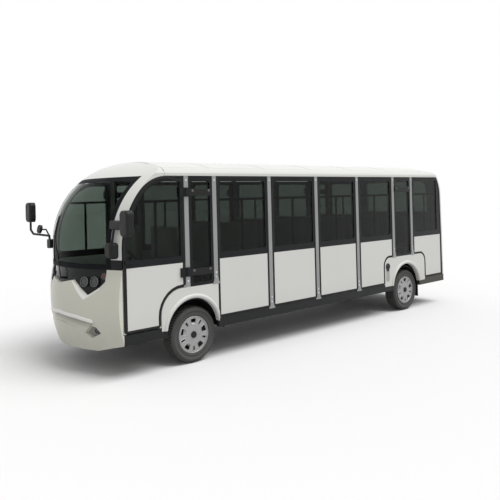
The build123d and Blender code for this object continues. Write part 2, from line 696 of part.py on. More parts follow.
# Columns: axle, inner radius, inner wall
HOUSINGS = [
    (AXLE_FRONT_X, HOUSING_FRONT_R, HOUSING_FRONT_Y),
    (AXLE_REAR_X, HOUSING_REAR_R, HOUSING_REAR_Y),
]
floor_front_x = SCREEN_X - WALL - BOW[-1][1] - 60
pan = block(floor_back_x, floor_front_x, SEAM - WALL_Y0, WALL_Y0 - SEAM, FLOOR_Z0, FLOOR_Z1)
housings = []
for axle_x, radius, wall_y in HOUSINGS:
    grown = radius + HOUSING_T
    well = block(axle_x - grown - SEAM, axle_x + grown + SEAM, wall_y - HOUSING_T - SEAM, FAR, 0, FAR)
    pan = pan - well - mirror(well, about=Plane.XZ)
    drum = slab(Pos(axle_x, TYRE_R) * Circle(grown), wall_y - HOUSING_T, WALL_Y0 - SEAM)
    skirt = slab(
        rectangle(axle_x - grown, axle_x + grown, FLOOR_Z0, FLOOR_Z1 + 20), wall_y - HOUSING_T, WALL_Y0 - SEAM
    )
    drum = drum + skirt - slab(Pos(axle_x, TYRE_R) * Circle(radius), wall_y, FAR)
    drum = drum - slab(rectangle(axle_x - radius, axle_x + radius, 0, TYRE_R), wall_y, FAR)
    drum = drum & block(-FAR, FAR, 0, FAR, FLOOR_Z0, FAR)
    housings += both_sides(drum)
write("floor_pan", pan)
write("wheel_housings", *housings)
flap_x = AXLE_REAR_X - HOUSING_REAR_R - HOUSING_T
flap = block(flap_x - FLAP_T, flap_x, HOUSING_REAR_Y + FLAP_INSET, WALL_Y0 - FLAP_INSET, FLAP_Z0, FLOOR_Z0)
write("mud_flaps", *both_sides(flap))
battery_y = RAIL_Y - SEAM
write("battery_pack", block(BATTERY_X0, BATTERY_X1, -battery_y, battery_y, BATTERY_Z0, FLOOR_Z0 - SEAM))


def leaf_spring(axle_x, low_z):
    """One bowed spring under its rail, from eye to eye."""
    half = SPRING_LEN / 2
    top = RAIL_Z0
    outer = ThreePointArc((axle_x - half, top), (axle_x, low_z + SPRING_T), (axle_x + half, top))
    inner = ThreePointArc(
        (axle_x + half, top - SPRING_T), (axle_x, low_z), (axle_x - half, top - SPRING_T)
    )
    face = make_face([outer, Line(outer @ 1, inner @ 0), inner, Line(inner @ 1, outer @ 0)])
    mid = RAIL_Y + RAIL_W / 2
    return slab(face, mid - SPRING_W / 2, mid + SPRING_W / 2)


# Front axle: a dropped beam that carries the king pins in forked ends
BEAM_Z0 = TYRE_R - AXLE_BEAM_H / 2
BEAM_Z1 = TYRE_R + AXLE_BEAM_H / 2
FORK_H = 150
KNUCKLE_H = 90
FIT_GAP = 0.08
BEAM_HALF_W = 30
FORK_R = 26
FORK_REACH = 42
CHEEK_T = 20
beam_half = KING_PIN_Y - FORK_REACH
fork_x = (AXLE_FRONT_X - FORK_R, AXLE_FRONT_X + FORK_R)
fork_z = (TYRE_R - FORK_H / 2, TYRE_R + FORK_H / 2)
fork = block(*fork_x, beam_half - CHEEK_T, beam_half, *fork_z)
for z0 in (TYRE_R + KNUCKLE_H / 2 + FIT_GAP, fork_z[0]):
    z1 = z0 + (FORK_H - KNUCKLE_H) / 2 - FIT_GAP
    fork = fork + block(*fork_x, beam_half, KING_PIN_Y, z0, z1)
    fork = fork + rod((AXLE_FRONT_X, KING_PIN_Y, z0), (AXLE_FRONT_X, KING_PIN_Y, z1), FORK_R)
king_pin = rod((AXLE_FRONT_X, KING_PIN_Y, fork_z[0]), (AXLE_FRONT_X, KING_PIN_Y, fork_z[1]), KING_PIN_R)
beam_x = (AXLE_FRONT_X - BEAM_HALF_W, AXLE_FRONT_X + BEAM_HALF_W)
axle = block(*beam_x, -beam_half, beam_half, BEAM_Z0, BEAM_Z1)
axle = axle + both_sides(fork + king_pin) + both_sides(leaf_spring(AXLE_FRONT_X, BEAM_Z1))
write("front_axle", axle)

# Steering knuckles turn on the king pins and carry the front wheels on their stubs
STUB_R = 20
HUB_Y = WHEEL_Y + 20
KNUCKLE_R = 30


def pin_rod(half_h, radius):
    """A round bar along the left king pin."""
    low = (AXLE_FRONT_X, KING_PIN_Y, TYRE_R - half_h)
    return rod(low, (AXLE_FRONT_X, KING_PIN_Y, TYRE_R + half_h), radius)


stub = rod((AXLE_FRONT_X, KING_PIN_Y, TYRE_R), (AXLE_FRONT_X, HUB_Y, TYRE_R), STUB_R)
knuckle = pin_rod(KNUCKLE_H / 2, KNUCKLE_R) + stub - pin_rod(FORK_H, KING_PIN_R + FIT_GAP)
write("knuckle_left", knuckle)
write("knuckle_right", mirror(knuckle, about=Plane.XZ))

# Rear axle tube with its gear case and the drive motor
DIFF_R = 105
DIFF_HALF_W = 70
MOTOR_R = 95
MOTOR_L = 420
rear = rod((AXLE_REAR_X, -HUB_Y, TYRE_R), (AXLE_REAR_X, HUB_Y, TYRE_R), STUB_R)
tube_half = KING_PIN_Y
rear = rear + rod((AXLE_REAR_X, -tube_half, TYRE_R), (AXLE_REAR_X, tube_half, TYRE_R), AXLE_TUBE_R)
rear = rear + rod((AXLE_REAR_X, -DIFF_HALF_W, TYRE_R), (AXLE_REAR_X, DIFF_HALF_W, TYRE_R), DIFF_R)
rear = rear + rod((AXLE_REAR_X, 0, TYRE_R), (AXLE_REAR_X + MOTOR_L, 0, TYRE_R), MOTOR_R)
rear = rear + both_sides(leaf_spring(AXLE_REAR_X, TYRE_R - AXLE_TUBE_R - SPRING_T))
write("rear_axle", rear)

# Wheels: a cover with five wide and five narrow openings, a barrel and a hub on the stub
WHEELS = [
    ("front_left", AXLE_FRONT_X, 1),
    ("front_right", AXLE_FRONT_X, -1),
    ("rear_left", AXLE_REAR_X, 1),
    ("rear_right", AXLE_REAR_X, -1),
]
RIM_T = 8
COVER_Y = TYRE_W / 2 - 12
COVER_T = 10
OPENING_R1 = 160
# Columns: inner radius, inner half width, outer half width, rounding, turn from the first spoke
OPENINGS = [(102, 19, 37, 13, 0), (112, 7, 12, 6, 36)]
TYRE_SHOULDER = 26
TYRE_BEAD = 8


def wheel_solid():
    """One wheel about the Y axis, outer face towards +Y."""
    half = TYRE_W / 2 - 10
    barrel = rod((0, -half, 0), (0, half, 0), RIM_R) - rod((0, -FAR, 0), (0, FAR, 0), RIM_R - RIM_T)
    cover = rod((0, COVER_Y - COVER_T, 0), (0, COVER_Y, 0), RIM_R - RIM_T + 1)
    for index in range(5):
        for r0, inner_w, outer_w, rounding, turn in OPENINGS:
            hole = polygon((r0, -inner_w), (OPENING_R1, -outer_w), (OPENING_R1, outer_w), (r0, inner_w))
            hole = fillet(hole.vertices(), rounding)
            cutter = slab(Rot(0, 0, 90 + 72 * index + turn) * hole, COVER_Y - 40, COVER_Y + 40)
            cover = cover - cutter
    hub_y0 = HUB_Y - WHEEL_Y - 38
    hub = rod((0, hub_y0, 0), (0, COVER_Y + 6, 0), HUB_R)
    bore = rod((0, -FAR, 0), (0, HUB_Y - WHEEL_Y + FIT_GAP, 0), STUB_R + FIT_GAP)
    return barrel + cover + hub - bore


def tyre_solid():
    """One tyre about the Y axis, a plain round-shouldered ring."""
    face = Pos((RIM_R + SEAM + TYRE_R) / 2, 0) * Rectangle(TYRE_R - RIM_R - SEAM, TYRE_W)
    outer = face.vertices().sort_by(Axis.X)[-2:]
    face = fillet(outer, TYRE_SHOULDER)
    inner = face.vertices().sort_by(Axis.X)[:2]
    face = chamfer(inner, TYRE_BEAD)
    return revolve(Plane.XY * face, Axis.Y)


wheel = wheel_solid()
tyre = tyre_solid()
for name, axle_x, side in WHEELS:
    place = Pos(axle_x, side * WHEEL_Y, TYRE_R)
    turned = wheel if side > 0 else mirror(wheel, about=Plane.XZ)
    write("wheel_" + name, place * turned)
    write("tyre_" + name, place * tyre)

# Seats: two in front over the axle, five benches behind, on trays and legs
# Rear faces of the benches' backrests
BENCH_X = (AB_X + 36, BC_X + 36, CD_X + 36, DN_X + 70, REAR_TOP_X + 72)
FRONT_BACK_X = P1_X - 40
FRONT_SEAT_Y = (120, BODY_HALF_W - 160)
TRAY_T = 16
TRAY_INSET = 20
LEG_BACK = 40
LEG_FRONT = 80
STAY_T = 20
STAY_DROP = 160
FRONT_STAY_INSET = 180
FRONT_BOX_GAP = 30
TRAY_Z = SEAT_Z - CUSHION_T


def seat(back_x, y0, y1):
    """Cushion, backrest and tray of one seat, by its backrest's rear face and its two sides."""
    front = back_x + BACK_T
    cushion = block(front + SEAM, front + CUSHION_L, y0, y1, TRAY_Z + SEAM, SEAT_Z)
    cushion = fillet(cushion.edges().group_by(Axis.Z)[-1], SEAT_ROUND)
    back = block(back_x, front, y0, y1, TRAY_Z + SEAM, BACK_TOP_Z)
    back = fillet(back.edges().group_by(Axis.Z)[-1], SEAT_ROUND)
    tray_x = (back_x - STAY_T, front + CUSHION_L - TRAY_INSET)
    tray = block(*tray_x, y0 + TRAY_INSET, y1 - TRAY_INSET, TRAY_Z - TRAY_T, TRAY_Z)
    return cushion, back, tray


def stay(back_x, y0, y1):
    """An upright behind a backrest."""
    return block(back_x - STAY_T, back_x - SEAM, y0, y1, TRAY_Z - TRAY_T, BACK_TOP_Z - STAY_DROP)


cushions = []
backs = []
seat_frames = []
for back_x in BENCH_X:
    cushion, back, tray = seat(back_x, -BENCH_HALF_W, BENCH_HALF_W)
    leg_x = (back_x + LEG_BACK, back_x + BACK_T + CUSHION_L - LEG_FRONT)
    for y in (-BENCH_LEG_Y, BENCH_LEG_Y):
        tray = tray + block(*leg_x, y - LEG_W / 2, y + LEG_W / 2, FLOOR_Z1, TRAY_Z)
        tray = tray + stay(back_x, y - LEG_W / 2, y + LEG_W / 2)
    cushions.append(cushion)
    backs.append(back)
    seat_frames.append(tray)
y_in, y_out = FRONT_SEAT_Y
cushion, back, tray = seat(FRONT_BACK_X, y_in, y_out)
front = FRONT_BACK_X + BACK_T
box_y = (y_in + FRONT_BOX_GAP, HOUSING_FRONT_Y - TRAY_INSET)
tray = tray + block(front, front + CUSHION_L - LEG_FRONT, *box_y, FLOOR_Z1, TRAY_Z)
tray = tray + stay(FRONT_BACK_X, y_in + FRONT_STAY_INSET, y_out - FRONT_STAY_INSET)
write("seat_cushions", *cushions, *both_sides(cushion))
write("seat_backs", *backs, *both_sides(back))
write("seat_frames", *seat_frames, *both_sides(tray))

# Dashboard and steering column
DASH_HALF_W = BODY_HALF_W - 70
DASH_Z0 = 640
DASH_TOP = [(2500, 860), (2560, 985), (SCREEN_X, 1000)]
DASH_LEG_X = (2600, 2640)
DASH_LEG_HALF_W = 300
COLUMN_R = 28
COLUMN_L = 260
BOSS_R = 46
BOSS_FRONT = 18
BOSS_BACK = 40
SPOKE_W = 30
SPOKE_T = 12
SPOKE_TURNS = (90, 210, 330)
dash_face = polygon((2520, DASH_Z0), *DASH_TOP, (SCREEN_X, DASH_Z0))
dash = slab(dash_face, -DASH_HALF_W, DASH_HALF_W) & envelope(WALL + SEAM)
rake = math.radians(STEER_RAKE)
hub = Vector(STEER_X, STEER_Y, STEER_Z)
along = Vector(math.cos(rake), 0, -math.sin(rake))
dash_legs = block(*DASH_LEG_X, -DASH_LEG_HALF_W, DASH_LEG_HALF_W, FLOOR_Z1, DASH_Z0 + 20)
column = rod(tuple(hub + along * BOSS_BACK), tuple(hub + along * COLUMN_L), COLUMN_R)
write("dashboard", dash + dash_legs + column)
wheel_plane = Plane(origin=tuple(hub), x_dir=(0, 1, 0), z_dir=tuple(along * -1))
steering = wheel_plane * Torus(STEER_WHEEL_R, STEER_GRIP_R)
steering = steering + rod(tuple(hub - along * BOSS_FRONT), tuple(hub + along * (BOSS_BACK - SEAM)), BOSS_R)
spoke = Pos((STEER_WHEEL_R + BOSS_R / 2) / 2, 0, 0) * Box(STEER_WHEEL_R - BOSS_R / 2, SPOKE_W, SPOKE_T)
for turn in SPOKE_TURNS:
    steering = steering + wheel_plane * Rot(0, 0, turn) * spoke
write("steering_wheel", steering)

# Mirrors: each head on a bent tube from a pod or a foot at the base of its screen post
MIRROR_OUT_Y = SIDE + 240
HEAD_W = 140
HEAD_ROUND = 45
HEAD_BACK_ROUND = 22
TUBE_R = 12
POD_Y = SIDE - 92
POD_Z = 1190
POD_ROUND = 34
STUB_Z = (1385, 1468)
NEAR_HEAD_Z = (1325, 1560)
FAR_FOOT_Y = SIDE - 160
FAR_FOOT_Z = 1200
FAR_HEAD_X = (2801, 2871)
FAR_HEAD_Z = (1430, 1650)
SPOT_X = (2783, 2809)
SPOT_Y = SIDE + 10
SPOT_Z = 1352
SPOT_R = 46
head_y = MIRROR_OUT_Y - HEAD_W / 2


def tube(points, radius):
    """Round bars through a row of points, with a ball at each bend."""
    whole = rod(points[0], points[1], radius)
    for first, second in zip(points[1:-1], points[2:]):
        whole = whole + Pos(*first) * Sphere(radius) + rod(first, second, radius)
    return whole


def mirror_head(x0, x1, z0, z1):
    head = block(x0, x1, MIRROR_OUT_Y - HEAD_W, MIRROR_OUT_Y, z0, z1)
    head = fillet(head.edges().filter_by(Axis.X), HEAD_ROUND)
    return fillet(head.edges().group_by(Axis.X)[-1], HEAD_BACK_ROUND)


# Left: a large head on a stub from the post, with a thin tube down to the pod
pod_x = skin_point(OUTER, POD_Y, POD_Z)[0].X
post_x = skin_point(OUTER, POD_Y, sum(STUB_Z) / 2)[0].X
pod = Pos(pod_x, POD_Y, POD_Z) * Box(110, 132, 150)
pod = fillet(pod.edges(), POD_ROUND)
stub = block(post_x - 12, post_x + 60, POD_Y, head_y, *STUB_Z)
stub = fillet(stub.edges().filter_by(Axis.Y), 20)
near = mirror_head(post_x - 4, post_x + 70, *NEAR_HEAD_Z) + stub + pod
near = near + tube([(pod_x + 30, POD_Y + 30, POD_Z), (post_x + 30, SIDE - 50, STUB_Z[0] + 35)], TUBE_R)

# Right, drawn as on the left and mirrored: a head held forward on a bent tube, and a small round one
foot_x = skin_point(OUTER, FAR_FOOT_Y, FAR_FOOT_Z)[0].X
foot_block = Pos(foot_x, FAR_FOOT_Y, FAR_FOOT_Z) * Box(100, 80, 96)
foot_block = fillet(foot_block.edges().filter_by(Axis.X), 18)
mast = (foot_x + 34, FAR_FOOT_Y + 10, FAR_FOOT_Z + 85)
arm_x = FAR_HEAD_X[0] + 34
arm = [
    (foot_x + 30, FAR_FOOT_Y, FAR_FOOT_Z),
    mast,
    (arm_x - 10, head_y - 50, FAR_FOOT_Z + 100),
    (arm_x, head_y, FAR_FOOT_Z + 145),
    (arm_x, head_y, FAR_HEAD_Z[0] + 70),
]
spot_arm = [mast, (SPOT_X[0] - 18, SIDE - 90, SPOT_Z), (SPOT_X[0] + 12, SPOT_Y, SPOT_Z)]
distant = mirror_head(*FAR_HEAD_X, *FAR_HEAD_Z) + foot_block + tube(arm, TUBE_R)
distant = distant + tube(spot_arm, TUBE_R - 4)
distant = distant + rod((SPOT_X[0], SPOT_Y, SPOT_Z), (SPOT_X[1], SPOT_Y, SPOT_Z + 6), SPOT_R)
mirrors = [near - OUTER, mirror(distant - OUTER, about=Plane.XZ)]
write("mirrors", *[max(item.solids(), key=lambda solid: solid.volume) for item in mirrors])
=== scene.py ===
import math

import bmesh
import bpy
from mathutils import Matrix, Vector
from mathutils.bvhtree import BVHTree


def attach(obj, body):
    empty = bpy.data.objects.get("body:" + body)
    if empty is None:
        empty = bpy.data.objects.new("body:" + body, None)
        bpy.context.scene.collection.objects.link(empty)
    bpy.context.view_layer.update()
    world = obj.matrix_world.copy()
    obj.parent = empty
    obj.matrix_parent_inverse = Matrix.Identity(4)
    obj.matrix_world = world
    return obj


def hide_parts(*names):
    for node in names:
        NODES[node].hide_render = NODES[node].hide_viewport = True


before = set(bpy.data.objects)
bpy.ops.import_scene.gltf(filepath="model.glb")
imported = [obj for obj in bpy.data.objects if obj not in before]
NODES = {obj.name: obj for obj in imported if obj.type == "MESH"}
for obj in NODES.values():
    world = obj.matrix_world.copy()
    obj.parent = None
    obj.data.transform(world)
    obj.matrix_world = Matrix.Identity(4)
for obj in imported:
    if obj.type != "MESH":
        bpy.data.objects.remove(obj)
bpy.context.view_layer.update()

bl_info = {
    "name": "Sightseeing bus dressing",
    "version": (1, 0, 0),
    "blender": (4, 5, 0),
    "location": "View3D > Sidebar > Bus",
    "description": "Dresses the packed sightseeing bus with finishes, seals, tyres, seats and lamps",
    "category": "Object",
}

BODY = "body_shell"
SHADER = "Principled BSDF"
FINISH = {}
BLACK = (0.010, 0.011, 0.012, 1)
PLASTIC_BLACK = (0.016, 0.0165, 0.017, 1)
SEAL_W = 0.027
SEAL_H = 0.004
TREAD_COUNT = 64


# Sizes and colours that a user would change

class BusPaint(bpy.types.PropertyGroup):
    """Colours of the bus"""
    white: bpy.props.FloatVectorProperty(
        name="Panel white", description="Paint of roof, nose and lower panels", subtype="COLOR",
        size=4, min=0, max=1, default=(0.66, 0.66, 0.635, 1))
    black: bpy.props.FloatVectorProperty(
        name="Bezel black", description="Colour of the lamp bezels", subtype="COLOR",
        size=4, min=0, max=1, default=BLACK)
    pillar: bpy.props.FloatVectorProperty(
        name="Pillar grey", description="Satin metal of the pillars", subtype="COLOR",
        size=4, min=0, max=1, default=(0.30, 0.31, 0.305, 1))
    tint: bpy.props.FloatVectorProperty(
        name="Glass tint", description="Colour of light through the side glass", subtype="COLOR",
        size=4, min=0, max=1, default=(0.16, 0.19, 0.17, 1))
    vinyl: bpy.props.FloatVectorProperty(
        name="Seat vinyl", description="Colour of the seat covers", subtype="COLOR",
        size=4, min=0, max=1, default=(0.34, 0.345, 0.33, 1))


class BusSizes(bpy.types.PropertyGroup):
    """Sizes of the trim that the scene adds"""
    seal_width: bpy.props.FloatProperty(
        name="Seal width", description="Width of the rubber round each panel", subtype="DISTANCE",
        unit="LENGTH", min=0.005, max=0.06, default=SEAL_W)
    seal_height: bpy.props.FloatProperty(
        name="Seal height", description="How far the rubber stands proud", subtype="DISTANCE",
        unit="LENGTH", min=0.001, max=0.01, default=SEAL_H)
    tread_depth: bpy.props.FloatProperty(
        name="Tread depth", description="Depth of the grooves between tread blocks", subtype="DISTANCE",
        unit="LENGTH", min=0.002, max=0.015, default=0.007)
    tread_count: bpy.props.IntProperty(
        name="Tread blocks", description="Blocks round one rib of a tyre", min=20, max=120,
        default=TREAD_COUNT)
    seat_swell: bpy.props.FloatProperty(
        name="Seat swell", description="Most that the padding moves out", subtype="DISTANCE",
        unit="LENGTH", min=0.0, max=0.04, default=0.022)


# Layout of the sides in metres, the same numbers as the part's source

SIDES = {"left": 1, "right": -1}
SIDE_Y = 0.760
PROUD = 0.0006
PILLAR_HALF = 0.0265
PILLAR_X = {"p1": 1.906, "p2": 1.546, "ab": 0.753, "bc": -0.034, "cd": -0.830, "dn": -1.628, "ne": -2.078}
ARCH_PILLARS = ("p1", "p2", "dn", "ne")
SILL_TOP = 0.416
ROOF_SEAM = 1.878
WAIST = 1.022
ARCH_TOP = 0.775
ARCH_FRONT_X1 = 2.230
ARCH_FRONT_ROUND = 0.250
ARCH_REAR = (-2.384, -1.402)
ARCH_REAR_ROUND = 0.110
WINDOW_LOW = 1.092
WINDOW_TOP = 1.826
FRAME_W = 0.046
FIXED_GAP = 0.0003
DOOR_GAP = 0.008
CORNER_R = 0.018
ROWS = [("row_1", "ab", "p2"), ("row_2", "bc", "ab"), ("row_3", "cd", "bc"), ("row_4", "dn", "cd")]
FRONT_DOORS = (("door_driver", 1), ("door_front_right", -1))
TAIL_SILL_X = -2.8755
TAIL_TOP_X = -2.851
TAIL_TOP = 1.600
TAIL_BROW_R = 0.460
TAIL_EDGE_W = 0.050
TAIL_STEPS = 8

# Front edge of the front doors: upright, then the arc of the screen post, then a curve under the roof
DOOR_FRONT_X = 2.641
POST_Z = 1.180
POST_R = 0.850
POST_SWEEP = math.radians(39.4)
BROW_X = (2.300, 2.1305)
CURVE_STEPS = 10
STRIP_X = (2.603, 2.640)
STRIP_Y = (SIDE_Y - 0.002, SIDE_Y + 0.003)
STRIP_Z = (SILL_TOP + 0.030, 1.03)

# Rails of the sliding panes, just inside the glass
RAIL_Y = (0.727, 0.743)
RAIL_Z = 1.632
RAIL_HALF = 0.013
RAIL_TUCK = 0.004
RAIL_LAP = 0.001
RAIL_BEVEL = 0.003
FRONT_RAIL_END = 2.440
FRONT_UPRIGHT_X = 2.26

# Wheels and tyres
AXLE_X = {"front": 1.819, "rear": -1.939}
WHEELS = {end + "_" + label: (x, side) for end, x in AXLE_X.items() for label, side in SIDES.items()}
TYRE_R = 0.283
TYRE_W = 0.165
RIM_R = 0.186
WHEEL_Y = 0.6425
TREAD_SHARE = 0.74
TREAD_SINK = 0.008
ROAD_CLEAR = 0.0006
TREAD_CHAMFER = 0.0012
SHOULDER_DROP = 0.010
SHOULDER_W = 0.02
# Ribs of the tread to one side of the middle: place, width and lean of the blocks
SIDE_RIBS = ((0.031, 0.024, 0.35), (0.060, 0.026, 0.75))
MIDDLE_RIB = (0.0, 0.026, 0.0)
# Sections as radius and distance out along the axle
DRUM_SECTION = [(0.036, 0.014), (0.150, 0.014), (0.156, 0.008), (0.156, -0.030), (0.036, -0.030)]
CAP_SECTION = [(0.0005, 0.0815), (0.020, 0.0812), (0.029, 0.0795), (0.033, 0.0775), (0.0345, 0.0755),
               (0.0345, 0.070), (0.0005, 0.070)]
LIP_MIDDLE = (RIM_R - 0.0065, 0.0725)
LIP_HALF = (0.0062, 0.0035)
COVER_Y = 0.0705
COVER_R1 = 0.160
COVER_COUNT = 5
HUB_RING_R = 0.052
HUB_RING_HALF = (0.0015, 0.0012)
# Openings of a wheel cover: inner radius, inner half width, outer half width, rounding, turn in degrees
COVER_OPENINGS = [(0.102, 0.019, 0.037, 0.013, 0), (0.112, 0.007, 0.012, 0.006, 36)]
# Steps of the rim round an opening: growth of the outline and height over the cover
OPENING_STEPS = ((0.008, 0.0003), (0.005, 0.0028), (0.002, 0.0030), (-0.0015, -0.0060))
# Cheek of a wide opening: where it starts inside the edge, its run, its rise over the cover and its fall
CHEEK_START = 0.004
CHEEK_RUN = 0.024
CHEEK_RISE = 0.002
CHEEK_FALL = 0.020
CHEEK_CURVE = 1.4
CHEEK_LAP = 0.001
CHEEK_STEPS = 6

# Seats
BENCH_X = [0.789, 0.002, -0.794, -1.558, -2.827]
FRONT_SEAT_X = 1.866
BACK_T = 0.095
PAD_LOW = 0.7605
BACK_TOP = 1.400
SEAT_TOP = 0.870
SEAT_LENGTH = 0.420
SEAT_SPLIT = 0.004
BENCH_SPAN = (-0.640, 0.640)
BENCH_SEAMS = (-0.213, 0.213)
SEAT_SPAN = (0.120, 0.600)
PAD_START = 0.014
PAD_FOOT = {"back": 0.002, "cushion": 0.001}
PAD_ROUND = 0.028
PAD_VOXEL = 0.018
PAD_MARGIN = 0.0005
PAD_CROWN = 0.006
PRESSURE = 4.0
CLOTH_FRAMES = 20
SEAM_W = 0.011
SEAM_DEPTH = {"front": 0.012, "rear": 0.005, "top": 0.013}
PLEAT_W = 0.010
PLEAT_SHARE = 0.55
PLEAT_MARGIN = 0.055
# Pleats across a pad: how many, and the first and last one's distance from the pad's ends
PLEATS = {"back": (4, 0.13, 0.06), "cushion": (3, 0.09, 0.05)}

# Straps, feet, liners and the charge port's scoop, a flat film whose grey is painted shade
STRAP_Z = (0.918, 1.713)
STRAP_X = (1.590, 1.872)
STRAP_BOLT_X = (1.630, 1.835)
STRAP_BOLT_RISE = 0.016
STRAP_HALF = 0.036
STRAP_T = 0.012
REAR_STRAP_Z = (1.672, 1.744)
REAR_STRAP_T = 0.010
REAR_STRAP_INSET = 0.035
REAR_BOLT_INSET = 0.075
REAR_BOLT_Z = 1.724
BOLT_LIFT = 0.0015
BOLT_SIZE = (0.0085, 0.006)
SCREW_SIZE = (0.0075, 0.005)
SCREW_RISES = (0.062, 0.112)
SCREW_TOP_Z = 1.835
LINER_BOX = ((1.428, 1.440), (0.36, 0.735), (0.300, 0.640))
# Foot plates: pillars, height of the foot and its spread
FOOT_PLATES = [
    (("ab", "bc", "cd"), SILL_TOP - 0.012, 0.034),
    (("p2", "dn", "ne"), ARCH_TOP - 0.004, 0.040),
]
FOOT_Y = (SIDE_Y - 0.002, SIDE_Y + 0.0048)
CHARGE_X = -1.468
CHARGE_Z = 0.658
SCOOP_HALF = 0.040
SCOOP_DEEP = 0.205
SCOOP_R = 0.034
FILM = 0.0012

# Front and rear lamps
AMBER_Z = 0.9
LARGE_LAMP_R = 0.04
AMBER_EDGE = 0.0055
LENS_EDGE = 0.0093
LAMP_RIM_HALF = 0.0035
LAMP_RIM_OUT = 0.0015
# Domes as the depth of the foot behind the ring and the rise over it
LENS_FOOT = -0.004
LENS_RISE = 0.007
LENS_WALL = 0.002
LENS_SHRINK = 0.97
SHIELD_SHARE = 0.24
SHIELD_FOOT = -0.0068
SHIELD_RISE = 0.005
TAIL_BANDS = (("turn", 0.36, 0.62), ("reverse", 0.08, 0.32))
TAIL_BAND_INSET = 0.006
TAIL_BAND_X = (-0.002, 0.003)

# Mirrors, screen, nose and roof
MIRROR_HEAD_Y = SIDE_Y + 0.105
MIRROR_FACE_Y = (SIDE_Y + 0.108, SIDE_Y + 0.232)
MIRROR_EDGE = 0.012
MIRROR_R = 0.036
POST_FOOT_TOP = 1.104
# Clear part of the screen: half width, low and high edge
SCREEN_BORDER = (0.600, 1.060, 1.835)
SKIN_FILM = 0.0008
# Upper edge of the bumper groove: two lines as height and fall, the lower one holds
GROOVE_TOP = (0.568, 0.0725, 0.5944, 0.168)
# Painted shadow in the groove under the bumper lip: how far below the lip's edge it starts and where it is
# full
LIP_SHADOW_START = 0.085
LIP_SHADOW_FULL = 0.020
LIP_HALF_Y = 0.47
LIP_RISE = 0.010
LIP_SIZE = (0.017, 0.019)
LIP_SINK = 0.001
LIP_END_SINK = 0.012
LIP_STEPS = 24
# Where the painted-highlight film lies round the lamp bezel: heights and half width
BEZEL_HIGHLIGHT_Z = (0.70, 0.95)
BEZEL_HIGHLIGHT_Y = 0.64
FOG_POCKET = [(0.430, 0.488), (0.492, 0.478), (0.538, 0.420), (0.428, 0.366), (0.362, 0.412)]
FOG_SHARE = 0.90
FOG_FILM = 0.0025
RAIL_SEAM_Y = 0.690
ROOF_SEAM_X = (-2.439, 2.160)
FRONT_SEAM_Y = 0.742
SEALANT_SIZE = (0.013, 0.0022)
SEAM_REACH = 0.006

# Road dirt and dust
ROAD_DIRT = (0.33, 0.31, 0.27, 1)
DIRT_Z = (0.30, 0.62)
SILL_DUST = (0.062, 0.058, 0.048, 1)
SILL_DUST_X = (-2.30, -2.20)

# Stage
FLOOR_HALF = 60.0
FLOOR_Z = -0.001
FLOOR_LIT = (0.50, 0.50, 0.50, 1)
FLOOR_SEEN = (0.80, 0.80, 0.80, 1)
SKY_STRENGTH = 0.60
SUN_TOWARDS = (0.25, -0.40, -0.93)
SUN_STRENGTH = 2.3
SUN_SPREAD = math.radians(40.0)
# Camera fitted to the photo: place, then yaw, pitch and roll in degrees
CAMERA_PLACE = (5.2245, 5.2745, 1.6503)
CAMERA_TURN = (51.5061, 0.1761, -1.4357)
CAMERA_LENS = 40.7072
CAMERA_SENSOR = 36.0
CAMERA_SHIFT = (0.0848, -0.1072)
CAMERA_REACH = 500.0


# Helpers for finishes

def new_finish(name):
    """A new material, its node tree and its shader."""
    finish = bpy.data.materials.new(name)
    finish.use_nodes = True
    return finish, finish.node_tree, finish.node_tree.nodes[SHADER]


def opened(finish):
    """A finish's node tree, its shader and the socket that feeds its colour."""
    tree = finish.node_tree
    shader = tree.nodes[SHADER]
    return tree, shader, shader.inputs["Base Color"].links[0].from_socket


def add(tree, kind, links=(), **settings):
    """A node with settings, its inputs set by index or name to a value or joined to a socket."""
    node = tree.nodes.new(kind)
    for key, value in settings.items():
        setattr(node, key, value)
    for key, value in dict(links).items():
        socket = node.inputs[key]
        if isinstance(value, bpy.types.NodeSocket):
            tree.links.new(value, socket)
        else:
            socket.default_value = value
    return node


def noise(tree, scale, detail=3.0, stretch=(1, 1, 1)):
    """Noise on the piece's own coordinates."""
    coord = add(tree, "ShaderNodeTexCoord")
    spread = add(tree, "ShaderNodeMapping", {"Vector": coord.outputs["Object"], "Scale": stretch})
    cloud = add(tree, "ShaderNodeTexNoise", {"Vector": spread.outputs[0], "Scale": scale, "Detail": detail})
    return cloud.outputs["Fac"]


def ramp(tree, value, low, high, to_low, to_high):
    """A value moved from one range to another, held at the ends."""
    node = add(tree, "ShaderNodeMapRange", {0: value, 1: low, 2: high, 3: to_low, 4: to_high})
    return node.outputs[0]


def blend_colour(tree, factor, first, second):
    """The first colour at 0 and the second at 1."""
    node = add(tree, "ShaderNodeMix", {0: factor, 6: first, 7: second}, data_type="RGBA")
    return node.outputs[2]


def maths(tree, operation, first, second=0.0):
    """The result of one sum on values or sockets."""
    return add(tree, "ShaderNodeMath", {0: first, 1: second}, operation=operation).outputs[0]


def axes_of(tree):
    """The piece's own X, Y and Z."""
    coord = add(tree, "ShaderNodeTexCoord")
    return add(tree, "ShaderNodeSeparateXYZ", {0: coord.outputs["Object"]}).outputs


def bump(tree, shader, value, strength, distance):
    """A fine relief on the shader."""
    node = add(tree, "ShaderNodeBump", {"Strength": strength, "Distance": distance, "Height": value})
    tree.links.new(node.outputs[0], shader.inputs["Normal"])


def shade(colour, factor):
    """A colour made brighter or darker."""
    return tuple(c * factor for c in colour[:3]) + (1,)


